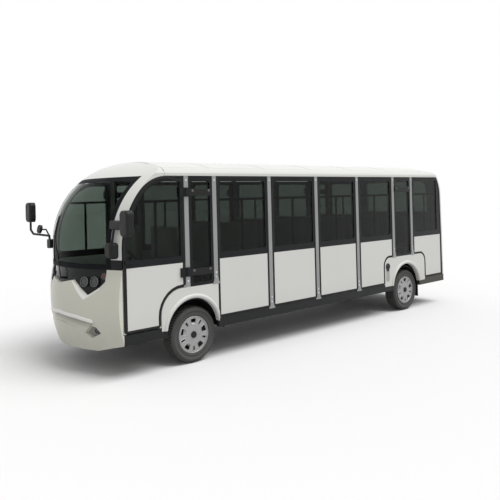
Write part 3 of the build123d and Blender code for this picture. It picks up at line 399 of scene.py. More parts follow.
def paint(name, colour, split=None, low_colour=None, dirt=True):
    """Gloss paint with a faint unevenness, black over a split height or of a second colour under it."""
    finish, tree, shader = new_finish(name)
    cloud = ramp(tree, noise(tree, 1.2, 2.0), 0.3, 0.7, 0, 1)
    base = blend_colour(tree, cloud, shade(colour, 0.985), shade(colour, 1.015))
    height = axes_of(tree)[2]
    if dirt:
        near_road = ramp(tree, height, *DIRT_Z, 0.30, 0)
        patches = maths(tree, "MULTIPLY", near_road, noise(tree, 9.0, 5.0))
        base = blend_colour(tree, patches, base, ROAD_DIRT)
    if split is not None:
        lower, upper = (low_colour, base) if low_colour else (base, BLACK)
        base = blend_colour(tree, maths(tree, "GREATER_THAN", height, split), lower, upper)
    tree.links.new(base, shader.inputs["Base Color"])
    tree.links.new(ramp(tree, noise(tree, 2.0), 0.3, 0.7, 0.22, 0.27), shader.inputs["Roughness"])
    shader.inputs["Specular IOR Level"].default_value = 0.16
    bump(tree, shader, noise(tree, 300.0, 2.0), 0.02, 0.0003)
    return finish


def plain(name, colour, roughness, metallic=0.0, grain=420.0, grain_depth=0.12, spread=0.12,
          stretch=(1, 1, 1), specular=0.18):
    """Plastic, rubber or metal with a fine grain and uneven gloss."""
    finish, tree, shader = new_finish(name)
    cloud = noise(tree, 5.0, 4.0)
    base = blend_colour(tree, cloud, shade(colour, 1 - spread), shade(colour, 1 + spread))
    tree.links.new(base, shader.inputs["Base Color"])
    low, high = max(roughness - 0.08, 0.02), min(roughness + 0.08, 1)
    tree.links.new(ramp(tree, noise(tree, 14.0), 0.3, 0.7, low, high), shader.inputs["Roughness"])
    shader.inputs["Metallic"].default_value = metallic
    shader.inputs["Specular IOR Level"].default_value = specular
    bump(tree, shader, noise(tree, grain, 3.0, stretch), grain_depth, 0.0008)
    return finish


def black_fittings(finish):
    """Turns what stands proud of the side, hinge leaves and handles, into black plastic."""
    tree, shader, panel = opened(finish)
    proud = maths(tree, "GREATER_THAN", maths(tree, "ABSOLUTE", axes_of(tree)[1]), SIDE_Y + PROUD)
    tree.links.new(blend_colour(tree, proud, panel, BLACK), shader.inputs["Base Color"])
    gloss = shader.inputs["Roughness"].links[0].from_socket
    mixed = add(tree, "ShaderNodeMix", {0: proud, 2: gloss, 3: 0.40})
    tree.links.new(mixed.outputs[0], shader.inputs["Roughness"])
    metal = shader.inputs["Metallic"].default_value
    if metal > 0:
        tree.links.new(ramp(tree, proud, 0, 1, metal, 0.0), shader.inputs["Metallic"])
    return finish


def glass(name, colour, border=None, ior=1.22):
    """Tinted glass with a trace of dust; outside a border, where one is given, it is black."""
    finish, tree, shader = new_finish(name)
    shader.inputs["IOR"].default_value = ior
    tree.links.new(ramp(tree, noise(tree, 4.0, 5.0), 0.4, 0.8, 0.0, 0.035), shader.inputs["Roughness"])
    dust = ramp(tree, noise(tree, 2.0, 4.0), 0.3, 0.7, 0.94, 1.0)
    shaded = add(tree, "ShaderNodeMix", {0: 1.0, 6: colour, 7: dust}, data_type="RGBA",
                 blend_type="MULTIPLY")
    base = shaded.outputs[2]
    shader.inputs["Transmission Weight"].default_value = 1.0
    if border:
        half_y, low_z, high_z = border
        axes = axes_of(tree)
        inside = maths(tree, "LESS_THAN", maths(tree, "ABSOLUTE", axes[1]), half_y)
        inside = maths(tree, "MULTIPLY", inside, maths(tree, "GREATER_THAN", axes[2], low_z))
        inside = maths(tree, "MULTIPLY", inside, maths(tree, "LESS_THAN", axes[2], high_z))
        base = blend_colour(tree, inside, BLACK, base)
        tree.links.new(inside, shader.inputs["Transmission Weight"])
    tree.links.new(base, shader.inputs["Base Color"])
    return finish


def lamp_glass(name, colour):
    """Clear moulded lens with fine flutes."""
    finish, tree, shader = new_finish(name)
    flutes = noise(tree, 60.0, 1.0, (1, 3, 1))
    tree.links.new(blend_colour(tree, flutes, shade(colour, 0.85), colour), shader.inputs["Base Color"])
    shader.inputs["Roughness"].default_value = 0.06
    shader.inputs["Transmission Weight"].default_value = 0.75
    bump(tree, shader, flutes, 0.25, 0.001)
    return finish


# Helpers for meshes

def mesh_from(bm, name, outward=False):
    """A mesh of what was drawn, its faces first turned outward where asked."""
    if outward:
        bmesh.ops.recalc_face_normals(bm, faces=bm.faces)
    mesh = bpy.data.meshes.new(name)
    bm.to_mesh(mesh)
    bm.free()
    return mesh


def mesh_piece(name, source, finish, body, smooth=True):
    """An object from a mesh or a drawing, dressed and riding on a body."""
    if isinstance(source, bmesh.types.BMesh):
        mesh = mesh_from(source, name, outward=True)
    else:
        mesh = source
        mesh.name = name
    if finish is not None:
        mesh.materials.clear()
        mesh.materials.append(finish)
    for face in mesh.polygons:
        face.use_smooth = smooth
    piece = bpy.data.objects.new(name, mesh)
    bpy.context.scene.collection.objects.link(piece)
    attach(piece, body)
    return piece


def path_mesh(name, paths, closed=False):
    """A mesh of runs of edges, each run round to its start again where closed."""
    verts, edges = [], []
    for points in paths:
        first, count = len(verts), len(points)
        edges += [(first + k, first + (k + 1) % count) for k in range(count if closed else count - 1)]
        verts += [tuple(p) for p in points]
    mesh = bpy.data.meshes.new(name)
    mesh.from_pydata(verts, edges, [])
    return mesh


def points_mesh(name, points):
    """A mesh of loose points."""
    mesh = bpy.data.meshes.new(name)
    mesh.from_pydata(points, [], [])
    return mesh


def add_box(bm, low, high, bevel=0.0, segments=2):
    """A box between two corners with rounded edges."""
    verts = bmesh.ops.create_cube(bm, size=1.0)["verts"]
    low, high = Vector(low), Vector(high)
    for vert in verts:
        vert.co = Vector((low[i] + (vert.co[i] + 0.5) * (high[i] - low[i]) for i in range(3)))
    if bevel:
        edges = {edge for vert in verts for edge in vert.link_edges}
        bmesh.ops.bevel(bm, geom=list(edges), offset=bevel, segments=segments, affect="EDGES", profile=0.6)


def side_box(bm, side, x, y, z, bevel):
    """A box at one side of the bus, from ranges of X, of distance from the middle plane and of Z."""
    y0, y1 = sorted((side * y[0], side * y[1]))
    add_box(bm, (x[0], y0, z[0]), (x[1], y1, z[1]), bevel)


def join_rows(bm, first, second, closed=True):
    """Faces between two rows of as many points, round to the start again where closed."""
    count = len(first)
    for k in range(count if closed else count - 1):
        after = (k + 1) % count
        bm.faces.new((first[k], first[after], second[after], second[k]))


def lathe(bm, profile, steps, closed=False):
    """A profile of (radius, along Y) points turned about the Y axis."""
    rings = []
    for index in range(steps):
        turn = 2 * math.pi * index / steps
        rings.append([bm.verts.new((r * math.cos(turn), y, r * math.sin(turn))) for r, y in profile])
    for index in range(steps):
        join_rows(bm, rings[index], rings[(index + 1) % steps], closed)


def oval(middle, half, steps):
    """Points round an oval."""
    turns = [2 * math.pi * k / steps for k in range(steps)]
    return [(middle[0] + half[0] * math.cos(turn), middle[1] + half[1] * math.sin(turn)) for turn in turns]


def dome_arc(radius, foot, rise, steps):
    """Profile of a dome from its top down to its foot, as (radius, along Y) points."""
    turns = [math.pi / 2 * k / steps for k in range(steps + 1)]
    return [(radius * math.sin(turn), foot + rise * math.cos(turn)) for turn in turns]


def rounded_outline(corners, steps=7):
    """Points round a closed outline whose corners (x, z, radius) are rounded."""
    points = []
    count = len(corners)
    for index, (x, z, radius) in enumerate(corners):
        corner = Vector((x, z))
        back = (Vector(corners[index - 1][:2]) - corner).normalized()
        ahead = (Vector(corners[(index + 1) % count][:2]) - corner).normalized()
        half = back.angle(ahead) / 2
        if radius <= 0 or half > math.pi / 2 - 0.01:
            points.append(corner)
            continue
        centre = corner + (back + ahead).normalized() * (radius / math.sin(half))
        start = corner + back * (radius / math.tan(half)) - centre
        sweep = math.pi - 2 * half
        if back.x * ahead.y - back.y * ahead.x > 0:
            sweep = -sweep
        points += [centre + Matrix.Rotation(sweep * k / steps, 2) @ start for k in range(steps + 1)]
    return points


def box_of(points):
    """Lowest and highest corner of a set of points."""
    low = Vector([min(p[i] for p in points) for i in range(3)])
    high = Vector([max(p[i] for p in points) for i in range(3)])
    return low, high


def islands(mesh):
    """Groups of faces that hang together, as lists of polygons."""
    parent = list(range(len(mesh.vertices)))

    def root(k):
        while parent[k] != k:
            parent[k] = parent[parent[k]]
            k = parent[k]
        return k

    places = {}
    for vert in mesh.vertices:
        key = tuple(round(c, 5) for c in vert.co)
        parent[vert.index] = places.setdefault(key, vert.index)
    for face in mesh.polygons:
        first = root(face.vertices[0])
        for k in face.vertices[1:]:
            parent[root(k)] = first
    groups = {}
    for face in mesh.polygons:
        groups.setdefault(root(face.vertices[0]), []).append(face)
    return list(groups.values())


def surface_of(name):
    """The solid's surface, to find points on it."""
    mesh = NODES[name].data
    return BVHTree.FromPolygons([v.co for v in mesh.vertices], [p.vertices[:] for p in mesh.polygons])


# Geometry node trees

def node_tree(name, inputs):
    """An empty tree with geometry in and out and named inputs (name, type, default)."""
    tree = bpy.data.node_groups.new(name, "GeometryNodeTree")
    tree.interface.new_socket("Geometry", in_out="INPUT", socket_type="NodeSocketGeometry")
    for label, kind, default in inputs:
        socket = tree.interface.new_socket(label, in_out="INPUT", socket_type=kind)
        if default is not None:
            socket.default_value = default
    tree.interface.new_socket("Geometry", in_out="OUTPUT", socket_type="NodeSocketGeometry")
    return tree, add(tree, "NodeGroupInput"), add(tree, "NodeGroupOutput")


def end_tree(tree, geometry, entry, leave):
    """Makes copies real, sets the finish and ends the tree."""
    real = add(tree, "GeometryNodeRealizeInstances", {0: geometry})
    dressed = add(tree, "GeometryNodeSetMaterial", {
        "Geometry": real.outputs[0], "Material": entry.outputs["Finish"]})
    tree.links.new(dressed.outputs[0], leave.inputs[0])
    return tree


def kept_tree(name, build):
    """The tree of a name, built the first time that it is asked for."""
    return bpy.data.node_groups.get(name) or build(name)


def grown(name, source, tree, values, body, smooth=True):
    """Runs a tree on a source mesh and keeps the result as a plain piece on a body."""
    seed = bpy.data.objects.new(name + "_seed", source)
    bpy.context.scene.collection.objects.link(seed)
    modifier = seed.modifiers.new("grow", "NODES")
    modifier.node_group = tree
    for item in tree.interface.items_tree:
        if item.item_type == "SOCKET" and item.in_out == "INPUT" and item.name in values:
            modifier[item.identifier] = values[item.name]
    bpy.context.view_layer.update()
    depsgraph = bpy.context.evaluated_depsgraph_get()
    mesh = bpy.data.meshes.new_from_object(seed.evaluated_get(depsgraph))
    seed.modifiers.remove(modifier)
    bpy.data.objects.remove(seed)
    if not len(mesh.polygons):
        raise RuntimeError(name + " came out empty")
    return mesh_piece(name, mesh, None, body, smooth)


def bead_tree(name):
    """Sweeps an oval bead along runs of edges, then turns and places it."""
    tree, entry, leave = node_tree(name, [
        ("Width", "NodeSocketFloat", SEAL_W), ("Height", "NodeSocketFloat", SEAL_H),
        ("Face", "NodeSocketVector", None), ("Turn", "NodeSocketVector", None),
        ("Finish", "NodeSocketMaterial", None)])
    path = add(tree, "GeometryNodeMeshToCurve", {"Mesh": entry.outputs["Geometry"]})
    upright = add(tree, "GeometryNodeSetCurveNormal", {"Curve": path.outputs[0]}, mode="Z_UP")
    ring = add(tree, "GeometryNodeCurvePrimitiveCircle", {"Resolution": 10, "Radius": 1.0})
    half = maths(tree, "MULTIPLY", entry.outputs["Width"], 0.5)
    size = add(tree, "ShaderNodeCombineXYZ", {0: half, 1: entry.outputs["Height"], 2: 1.0})
    section = add(tree, "GeometryNodeTransform", {"Geometry": ring.outputs[0], "Scale": size.outputs[0]})
    bead = add(tree, "GeometryNodeCurveToMesh", {
        "Curve": upright.outputs[0], "Profile Curve": section.outputs[0]})
    stood = add(tree, "GeometryNodeTransform", {
        "Geometry": bead.outputs[0], "Rotation": entry.outputs["Turn"],
        "Translation": entry.outputs["Face"]})
    return end_tree(tree, stood.outputs[0], entry, leave)


def screw_tree(name):
    """Puts a screw head with a washer on every point."""
    tree, entry, leave = node_tree(name, [
        ("Radius", "NodeSocketFloat", SCREW_SIZE[0]), ("Height", "NodeSocketFloat", SCREW_SIZE[1]),
        ("Turn", "NodeSocketVector", None), ("Finish", "NodeSocketMaterial", None)])
    head = add(tree, "GeometryNodeMeshCylinder", {
        "Vertices": 8, "Radius": entry.outputs["Radius"], "Depth": entry.outputs["Height"]})
    wide = maths(tree, "MULTIPLY", entry.outputs["Radius"], 1.5)
    thin = maths(tree, "MULTIPLY", entry.outputs["Height"], 0.4)
    washer = add(tree, "GeometryNodeMeshCylinder", {"Vertices": 12, "Radius": wide, "Depth": thin})
    both = add(tree, "GeometryNodeJoinGeometry")
    tree.links.new(head.outputs[0], both.inputs[0])
    tree.links.new(washer.outputs[0], both.inputs[0])
    copies = add(tree, "GeometryNodeInstanceOnPoints", {
        "Points": entry.outputs["Geometry"], "Instance": both.outputs[0],
        "Rotation": entry.outputs["Turn"]})
    return end_tree(tree, copies.outputs[0], entry, leave)


def wheel_tree(name):
    """Repeats a slice round an axle, joins the copies to a turned body and puts all in place."""
    tree, entry, leave = node_tree(name, [
        ("Count", "NodeSocketInt", TREAD_COUNT), ("Slice", "NodeSocketObject", None),
        ("Place", "NodeSocketVector", None), ("Finish", "NodeSocketMaterial", None)])
    marks = add(tree, "GeometryNodePoints", {"Count": entry.outputs["Count"]})
    index = add(tree, "GeometryNodeInputIndex")
    step = maths(tree, "DIVIDE", 2 * math.pi, entry.outputs["Count"])
    turn = maths(tree, "MULTIPLY", index.outputs[0], step)
    spin = add(tree, "ShaderNodeCombineXYZ", {1: turn})
    piece = add(tree, "GeometryNodeObjectInfo", {"Object": entry.outputs["Slice"]})
    copies = add(tree, "GeometryNodeInstanceOnPoints", {
        "Points": marks.outputs[0], "Instance": piece.outputs["Geometry"], "Rotation": spin.outputs[0]})
    whole = add(tree, "GeometryNodeJoinGeometry")
    tree.links.new(copies.outputs[0], whole.inputs[0])
    tree.links.new(entry.outputs["Geometry"], whole.inputs[0])
    placed = add(tree, "GeometryNodeTransform", {
        "Geometry": whole.outputs[0], "Translation": entry.outputs["Place"]})
    return end_tree(tree, placed.outputs[0], entry, leave)


# Pieces

class BUS_OT_finishes(bpy.types.Operator):
    """Makes the finishes and dresses every solid of the part"""
    bl_idname = "bus.finishes"
    bl_label = "Dress the solids"

    def execute(self, context):
        colours = context.scene.bus_paint
        self.paints(tuple(colours.white))
        self.metals(tuple(colours.pillar))
        self.plastics(tuple(colours.black), tuple(colours.vinyl))
        self.glasses(tuple(colours.tint))
        for finish, names in self.dressed_nodes().items():
            for name in names:
                mesh = NODES[name].data
                mesh.materials.clear()
                mesh.materials.append(FINISH[finish])
        return {"FINISHED"}

    def paints(self, white):
        """White and two-tone paints of the panels."""
        FINISH.update({
            "roof": paint("roof_white", white, dirt=False),
            "nose": paint("nose_white", white),
            "front": self.front_finish(white),
            "side": black_fittings(paint("panel_white_black_band", white, split=WAIST)),
            "posts": paint("post_white_black_foot", white, POST_FOOT_TOP, BLACK, dirt=False),
            "arch": paint("arch_white", white),
            "end": self.end_panel_finish(white),
            # Painted highlight: a brighter white for the bumper lip and the bezel's sloping edge, where
            # light falls on them
            "edge": paint("bezel_painted_highlight_white", shade(white, 1.28), dirt=False),
        })

    def metals(self, grey):
        """Satin, polished, cast and dull metals."""
        brushed = {"grain": 300.0, "grain_depth": 0.08, "spread": 0.08, "stretch": (12, 12, 0.3)}
        polished = {"grain": 200.0, "grain_depth": 0.01, "spread": 0.03}
        cast = {"grain": 500.0, "grain_depth": 0.04, "spread": 0.06}
        FINISH.update({
            "pillar": black_fittings(plain("pillar_satin_metal", grey, 0.38, 0.55, **brushed)),
            "foot": plain("foot_satin_metal", grey, 0.38, 0.55, **brushed),
            "ring": plain("lamp_dark_bowl", (0.045, 0.046, 0.048, 1), 0.20, 0.6, **polished),
            "rim": plain("lamp_rim", (0.15, 0.15, 0.155, 1), 0.20, 0.9, **polished),
            "chrome": plain("lamp_chrome", (0.78, 0.78, 0.80, 1), 0.08, 1.0, **polished),
            "wheel": plain("wheel_silver", (0.36, 0.36, 0.36, 1), 0.32, 0.45, **cast),
            "steel": plain("bright_steel", (0.62, 0.62, 0.62, 1), 0.25, 0.9, **cast),
            "bolt": plain("dull_bolt", (0.16, 0.16, 0.16, 1), 0.4, 0.5),
            "drum": plain("brake_drum", (0.035, 0.033, 0.031, 1), 0.6, 0.5, 90.0, 0.3, 0.3),
            "chassis": plain("chassis_black", (0.022, 0.022, 0.023, 1), 0.5, 0.1, 160.0, 0.25),
        })

    def plastics(self, black, vinyl):
        """Plastics, rubbers, vinyls and the coloured bands of the tail lamps."""
        tyre = {"grain": 520.0, "grain_depth": 0.2, "spread": 0.2}
        floor = {"grain": 250.0, "grain_depth": 0.3, "spread": 0.25}
        cover = {"grain": 190.0, "grain_depth": 0.35, "spread": 0.07}
        FINISH.update({
            "band": plain("band_black", black, 0.16, grain_depth=0.03),
            "screen_band": plain("screen_band_black", BLACK, 0.55, specular=0.04),
            "trim": plain("trim_black_plastic", PLASTIC_BLACK, 0.42),
            "sill": self.sill_finish(),
            "rubber": plain("seal_rubber", (0.013, 0.013, 0.013, 1), 0.55, grain=700.0),
            "tyre": plain("tyre_rubber", (0.075, 0.075, 0.073, 1), 0.72, **tyre),
            "floor": plain("floor_vinyl", (0.10, 0.10, 0.10, 1), 0.6, **floor),
            "dash": plain("dash_plastic", (0.045, 0.046, 0.045, 1), 0.5, grain=320.0, grain_depth=0.25),
            "vinyl": plain("seat_vinyl", vinyl, 0.45, **cover),
            "pocket": plain("pocket_grey", (0.26, 0.255, 0.23, 1), 0.45),
            # Painted shade: the grey of the charge port's recess, laid on a flat film
            "scoop": plain("scoop_painted_shade_grey", (0.40, 0.395, 0.375, 1), 0.4),
            "sealant": plain("seam_sealant", (0.10, 0.10, 0.095, 1), 0.6),
            "turn": plain("turn_lens_amber", (0.66, 0.17, 0.010, 1), 0.12, grain=160.0),
            "reverse": plain("reverse_lens_clear", (0.58, 0.58, 0.57, 1), 0.12, grain=160.0),
        })

    def glasses(self, tint):
        """Window glass and lamp lenses."""
        FINISH.update({
            "side_glass": glass("side_glass_tinted", tint),
            "screen": glass("screen_glass", (0.46, 0.52, 0.48, 1), border=SCREEN_BORDER, ior=1.08),
            "lens": lamp_glass("smoked_lens", (0.15, 0.155, 0.155, 1)),
            "amber": lamp_glass("indicator_lens", (0.42, 0.030, 0.022, 1)),
            "red": lamp_glass("red_lens", (0.55, 0.01, 0.012, 1)),
        })

    def dressed_nodes(self):
        """The nodes that each finish goes on."""
        doors = [name for name in NODES if name.startswith("door_")]
        panes = [name for name in doors if name.endswith("_glass")]
        return {
            "roof": ["roof_panel"],
            "nose": ["rear_panel"],
            "front": ["front_panel"],
            "posts": ["front_pillars"],
            "side": ["row_panels_left"] + [name for name in doors if name not in panes],
            "end": ["end_panels"],
            "arch": ["arch_panels"],
            "pillar": ["pillars"],
            "band": ["lamp_bezels"],
            "ring": ["head_lamps"],
            "red": ["tail_lamps"],
            "screen": ["windscreen"],
            "side_glass": ["side_glass", "rear_glass"] + panes,
            "sill": ["sills", "rear_bumper"],
            "trim": ["mirrors", "wiper", "charge_port", "wheel_housings"],
            "rubber": ["mud_flaps"],
            "chassis": ["chassis_frame", "battery_pack", "front_axle", "rear_axle", "knuckle_left",
                        "knuckle_right", "seat_frames"],
            "floor": ["floor_pan"],
            "dash": ["dashboard", "steering_wheel"],
            "vinyl": ["seat_cushions", "seat_backs"],
            "wheel": ["wheel_" + name for name in WHEELS],
            "tyre": ["tyre_" + name for name in WHEELS],
        }

    def front_finish(self, white):
        """The nose's white, tinted a little towards olive as a painted reflection, with painted shadow in
        the recess under the bumper lip.
        """
        # The yellower tint is a painted reflection of the olive cast on the nose
        reflection_tinted_white = (white[0], white[1] * 0.995, white[2] * 0.90, 1)
        finish = paint("front_white_painted_reflection_and_shadow", reflection_tinted_white)
        tree, shader, unshaded = opened(finish)
        place = axes_of(tree)
        out = maths(tree, "ABSOLUTE", place[1])
        level = maths(tree, "ADD", place[2], maths(tree, "MULTIPLY", out, GROOVE_TOP[1]))
        edge = GROOVE_TOP[0]
        # Painted shadow under the bumper lip, darkest just below its edge
        lip_shadow = ramp(tree, level, edge - LIP_SHADOW_START, edge - LIP_SHADOW_FULL, 0.0, 0.75)
        below = maths(tree, "LESS_THAN", level, edge)
        inside = maths(tree, "LESS_THAN", out, LIP_HALF_Y - 0.02)
        share = maths(tree, "MULTIPLY", maths(tree, "MULTIPLY", lip_shadow, below), inside)
        tree.links.new(blend_colour(tree, share, unshaded, shade(reflection_tinted_white, 0.45)), shader.inputs["Base Color"])
        return finish

    def sill_finish(self):
        """Black sills, greyer with dust behind the rear wheels."""
        finish = plain("sill_black_plastic", PLASTIC_BLACK, 0.42)
        tree, shader, black = opened(finish)
        dusty = ramp(tree, axes_of(tree)[0], *SILL_DUST_X, 1.0, 0.0)
        tree.links.new(blend_colour(tree, dusty, black, SILL_DUST), shader.inputs["Base Color"])
        return finish

    def end_panel_finish(self, white):
        """The rearmost panels as the sides, the narrow panels over the wheels black all over."""
        finish = paint("end_panel_white_black", white, split=WAIST)
        tree, shader, two_tone = opened(finish)
        along = axes_of(tree)[0]
        rearmost = maths(tree, "LESS_THAN", along, PILLAR_X["ne"])
        tail_white = maths(tree, "GREATER_THAN", along, TAIL_SILL_X + TAIL_EDGE_W)
        rear_colour = blend_colour(tree, tail_white, BLACK, two_tone)
        tree.links.new(blend_colour(tree, rearmost, BLACK, rear_colour), shader.inputs["Base Color"])
        return finish


def row_corners(rear, front, gap, inset):
    """Corners of one row panel's outline, taken in by half the bead."""
    x0 = PILLAR_X[rear] + PILLAR_HALF + gap + inset
    x1 = PILLAR_X[front] - PILLAR_HALF - gap - inset
    z0 = SILL_TOP + gap + inset
    z1 = ROOF_SEAM - gap - inset
    if rear != "dn":
        return [(x0, z0, CORNER_R), (x1, z0, CORNER_R), (x1, z1, CORNER_R), (x0, z1, CORNER_R)]
    arch_x = ARCH_REAR[1] + gap + inset
    arch_z = ARCH_TOP + gap + inset
    return [(arch_x, z0, CORNER_R), (x1, z0, CORNER_R), (x1, z1, CORNER_R), (x0, z1, CORNER_R),
            (x0, arch_z, CORNER_R), (arch_x, arch_z, ARCH_REAR_ROUND + gap + inset)]


def rear_edge(z):
    """Rear edge of the side at a height."""
    if z < TAIL_TOP:
        share = (z - SILL_TOP) / (TAIL_TOP - SILL_TOP)
        return TAIL_SILL_X + share * (TAIL_TOP_X - TAIL_SILL_X)
    return TAIL_TOP_X + TAIL_BROW_R - math.sqrt(TAIL_BROW_R ** 2 - (z - TAIL_TOP) ** 2)


def tail_outline(inset):
    """Points round the rearmost side panel, its rear edge following the tail's brow."""
    x1 = PILLAR_X["ne"] - PILLAR_HALF - inset
    arch_x = ARCH_REAR[0] - inset
    arch_z = ARCH_TOP + inset
    z0 = SILL_TOP + inset
    z1 = ROOF_SEAM - inset
    lower = rounded_outline([
        (rear_edge(TAIL_TOP) + inset, TAIL_TOP, 0), (rear_edge(z0) + inset, z0, CORNER_R),
        (arch_x, z0, CORNER_R), (arch_x, arch_z, ARCH_REAR_ROUND + inset), (x1, arch_z, CORNER_R),
        (x1, z1, CORNER_R), (rear_edge(z1) + inset, z1, 0)])
    heights = [z1 + (TAIL_TOP - z1) * k / TAIL_STEPS for k in range(1, TAIL_STEPS)]
    return lower + [Vector((rear_edge(z) + inset, z)) for z in heights]


def front_door_outline(inset):
    """Points round the front door, its front edge following the screen post."""
    rear_x = PILLAR_X["p1"] + PILLAR_HALF + DOOR_GAP + inset
    arch_x = ARCH_FRONT_X1 + DOOR_GAP + inset
    arch_z = ARCH_TOP + DOOR_GAP + inset
    z0 = SILL_TOP + DOOR_GAP + inset
    z1 = ROOF_SEAM - DOOR_GAP - inset
    front_x = DOOR_FRONT_X - inset
    lower = rounded_outline([
        (rear_x, z1, CORNER_R), (rear_x, arch_z, CORNER_R),
        (arch_x, arch_z, ARCH_FRONT_ROUND + DOOR_GAP + inset), (arch_x, z0, CORNER_R),
        (front_x, z0, CORNER_R), (front_x, POST_Z, 0)])
    middle = Vector((DOOR_FRONT_X - POST_R, POST_Z))
    radius = POST_R - inset
    shares = [k / CURVE_STEPS for k in range(1, CURVE_STEPS + 1)]
    turns = [POST_SWEEP * t for t in shares]
    post = [middle + radius * Vector((math.cos(turn), math.sin(turn))) for turn in turns]
    start, pull, end = post[-1], Vector((BROW_X[0], z1)), Vector((BROW_X[1], z1))
    brow = [start * (1 - t) ** 2 + pull * 2 * t * (1 - t) + end * t * t for t in shares]
    return lower + post + brow


class BUS_OT_seals(bpy.types.Operator):
    """Lays the black rubber bead round every door and side panel"""
    bl_idname = "bus.seals"
    bl_label = "Seals"

    def execute(self, context):
        sizes = context.scene.bus_sizes
        inset = sizes.seal_width / 2
        tree = kept_tree("bead", bead_tree)
        groups = {(BODY, 1): []}
        for row, rear, front in ROWS:
            groups[BODY, 1].append(rounded_outline(row_corners(rear, front, FIXED_GAP, inset)))
            groups["door_" + row, -1] = [rounded_outline(row_corners(rear, front, DOOR_GAP, inset))]
        groups[BODY, 1].append(tail_outline(inset))
        groups[BODY, -1] = [tail_outline(inset)]
        for body, side in FRONT_DOORS:
            groups[body, side] = [front_door_outline(inset)]
            strip = bmesh.new()
            side_box(strip, side, STRIP_X, STRIP_Y, STRIP_Z, 0.002)
            mesh_piece("front_edge_" + body, strip, FINISH["rubber"], body, smooth=False)
        for (body, side), outlines in groups.items():
            paths = [[(p[0], -side * p[1], 0) for p in outline] for outline in outlines]
            name = "seal_%s_%s" % (body, "left" if side > 0 else "right")
            grown(name, path_mesh("seal_path", paths, closed=True), tree, {
                "Width": sizes.seal_width, "Height": sizes.seal_height, "Face": (0, side * SIDE_Y, 0),
                "Turn": (-side * math.pi / 2, 0, 0), "Finish": FINISH["rubber"]}, body)
        return {"FINISHED"}


class BUS_OT_window_bars(bpy.types.Operator):
    """Sets the sliding-pane rails behind every side window"""
    bl_idname = "bus.window_bars"
    bl_label = "Window rails"

    def execute(self, context):
        groups = {BODY: bmesh.new()}
        for row, rear, front in ROWS:
            groups["door_" + row] = bmesh.new()
            for body, side, gap in ((BODY, 1, FIXED_GAP), ("door_" + row, -1, DOOR_GAP)):
                x0 = PILLAR_X[rear] + PILLAR_HALF + gap + FRAME_W
                x1 = PILLAR_X[front] - PILLAR_HALF - gap - FRAME_W
                self.rails(groups[body], side, x0, x1, (x0 + x1) / 2)
        x0 = rear_edge(WINDOW_TOP) + FRAME_W
        x1 = PILLAR_X["ne"] - PILLAR_HALF - FRAME_W
        for side in SIDES.values():
            self.rails(groups[BODY], side, x0, x1, (x0 + x1) / 2)
        x0 = PILLAR_X["p1"] + PILLAR_HALF + DOOR_GAP + FRAME_W
        for body, side in FRONT_DOORS:
            groups[body] = bmesh.new()
            self.rails(groups[body], side, x0, FRONT_RAIL_END, FRONT_UPRIGHT_X)
        for body, bm in groups.items():
            mesh_piece("window_rails_" + body, bm, FINISH["trim"], body, smooth=False)
        return {"FINISHED"}

    def rails(self, bm, side, x0, x1, upright_x):
        """One level rail and one upright, just inside the pane."""
        level = (RAIL_Z - RAIL_HALF, RAIL_Z + RAIL_HALF)
        side_box(bm, side, (x0 - RAIL_TUCK, x1 + RAIL_TUCK), RAIL_Y, level, RAIL_BEVEL)
        upright = (upright_x - RAIL_HALF, upright_x + RAIL_HALF)
        height = (WINDOW_LOW - RAIL_TUCK, RAIL_Z - RAIL_HALF + RAIL_LAP)
        side_box(bm, side, upright, RAIL_Y, height, RAIL_BEVEL)


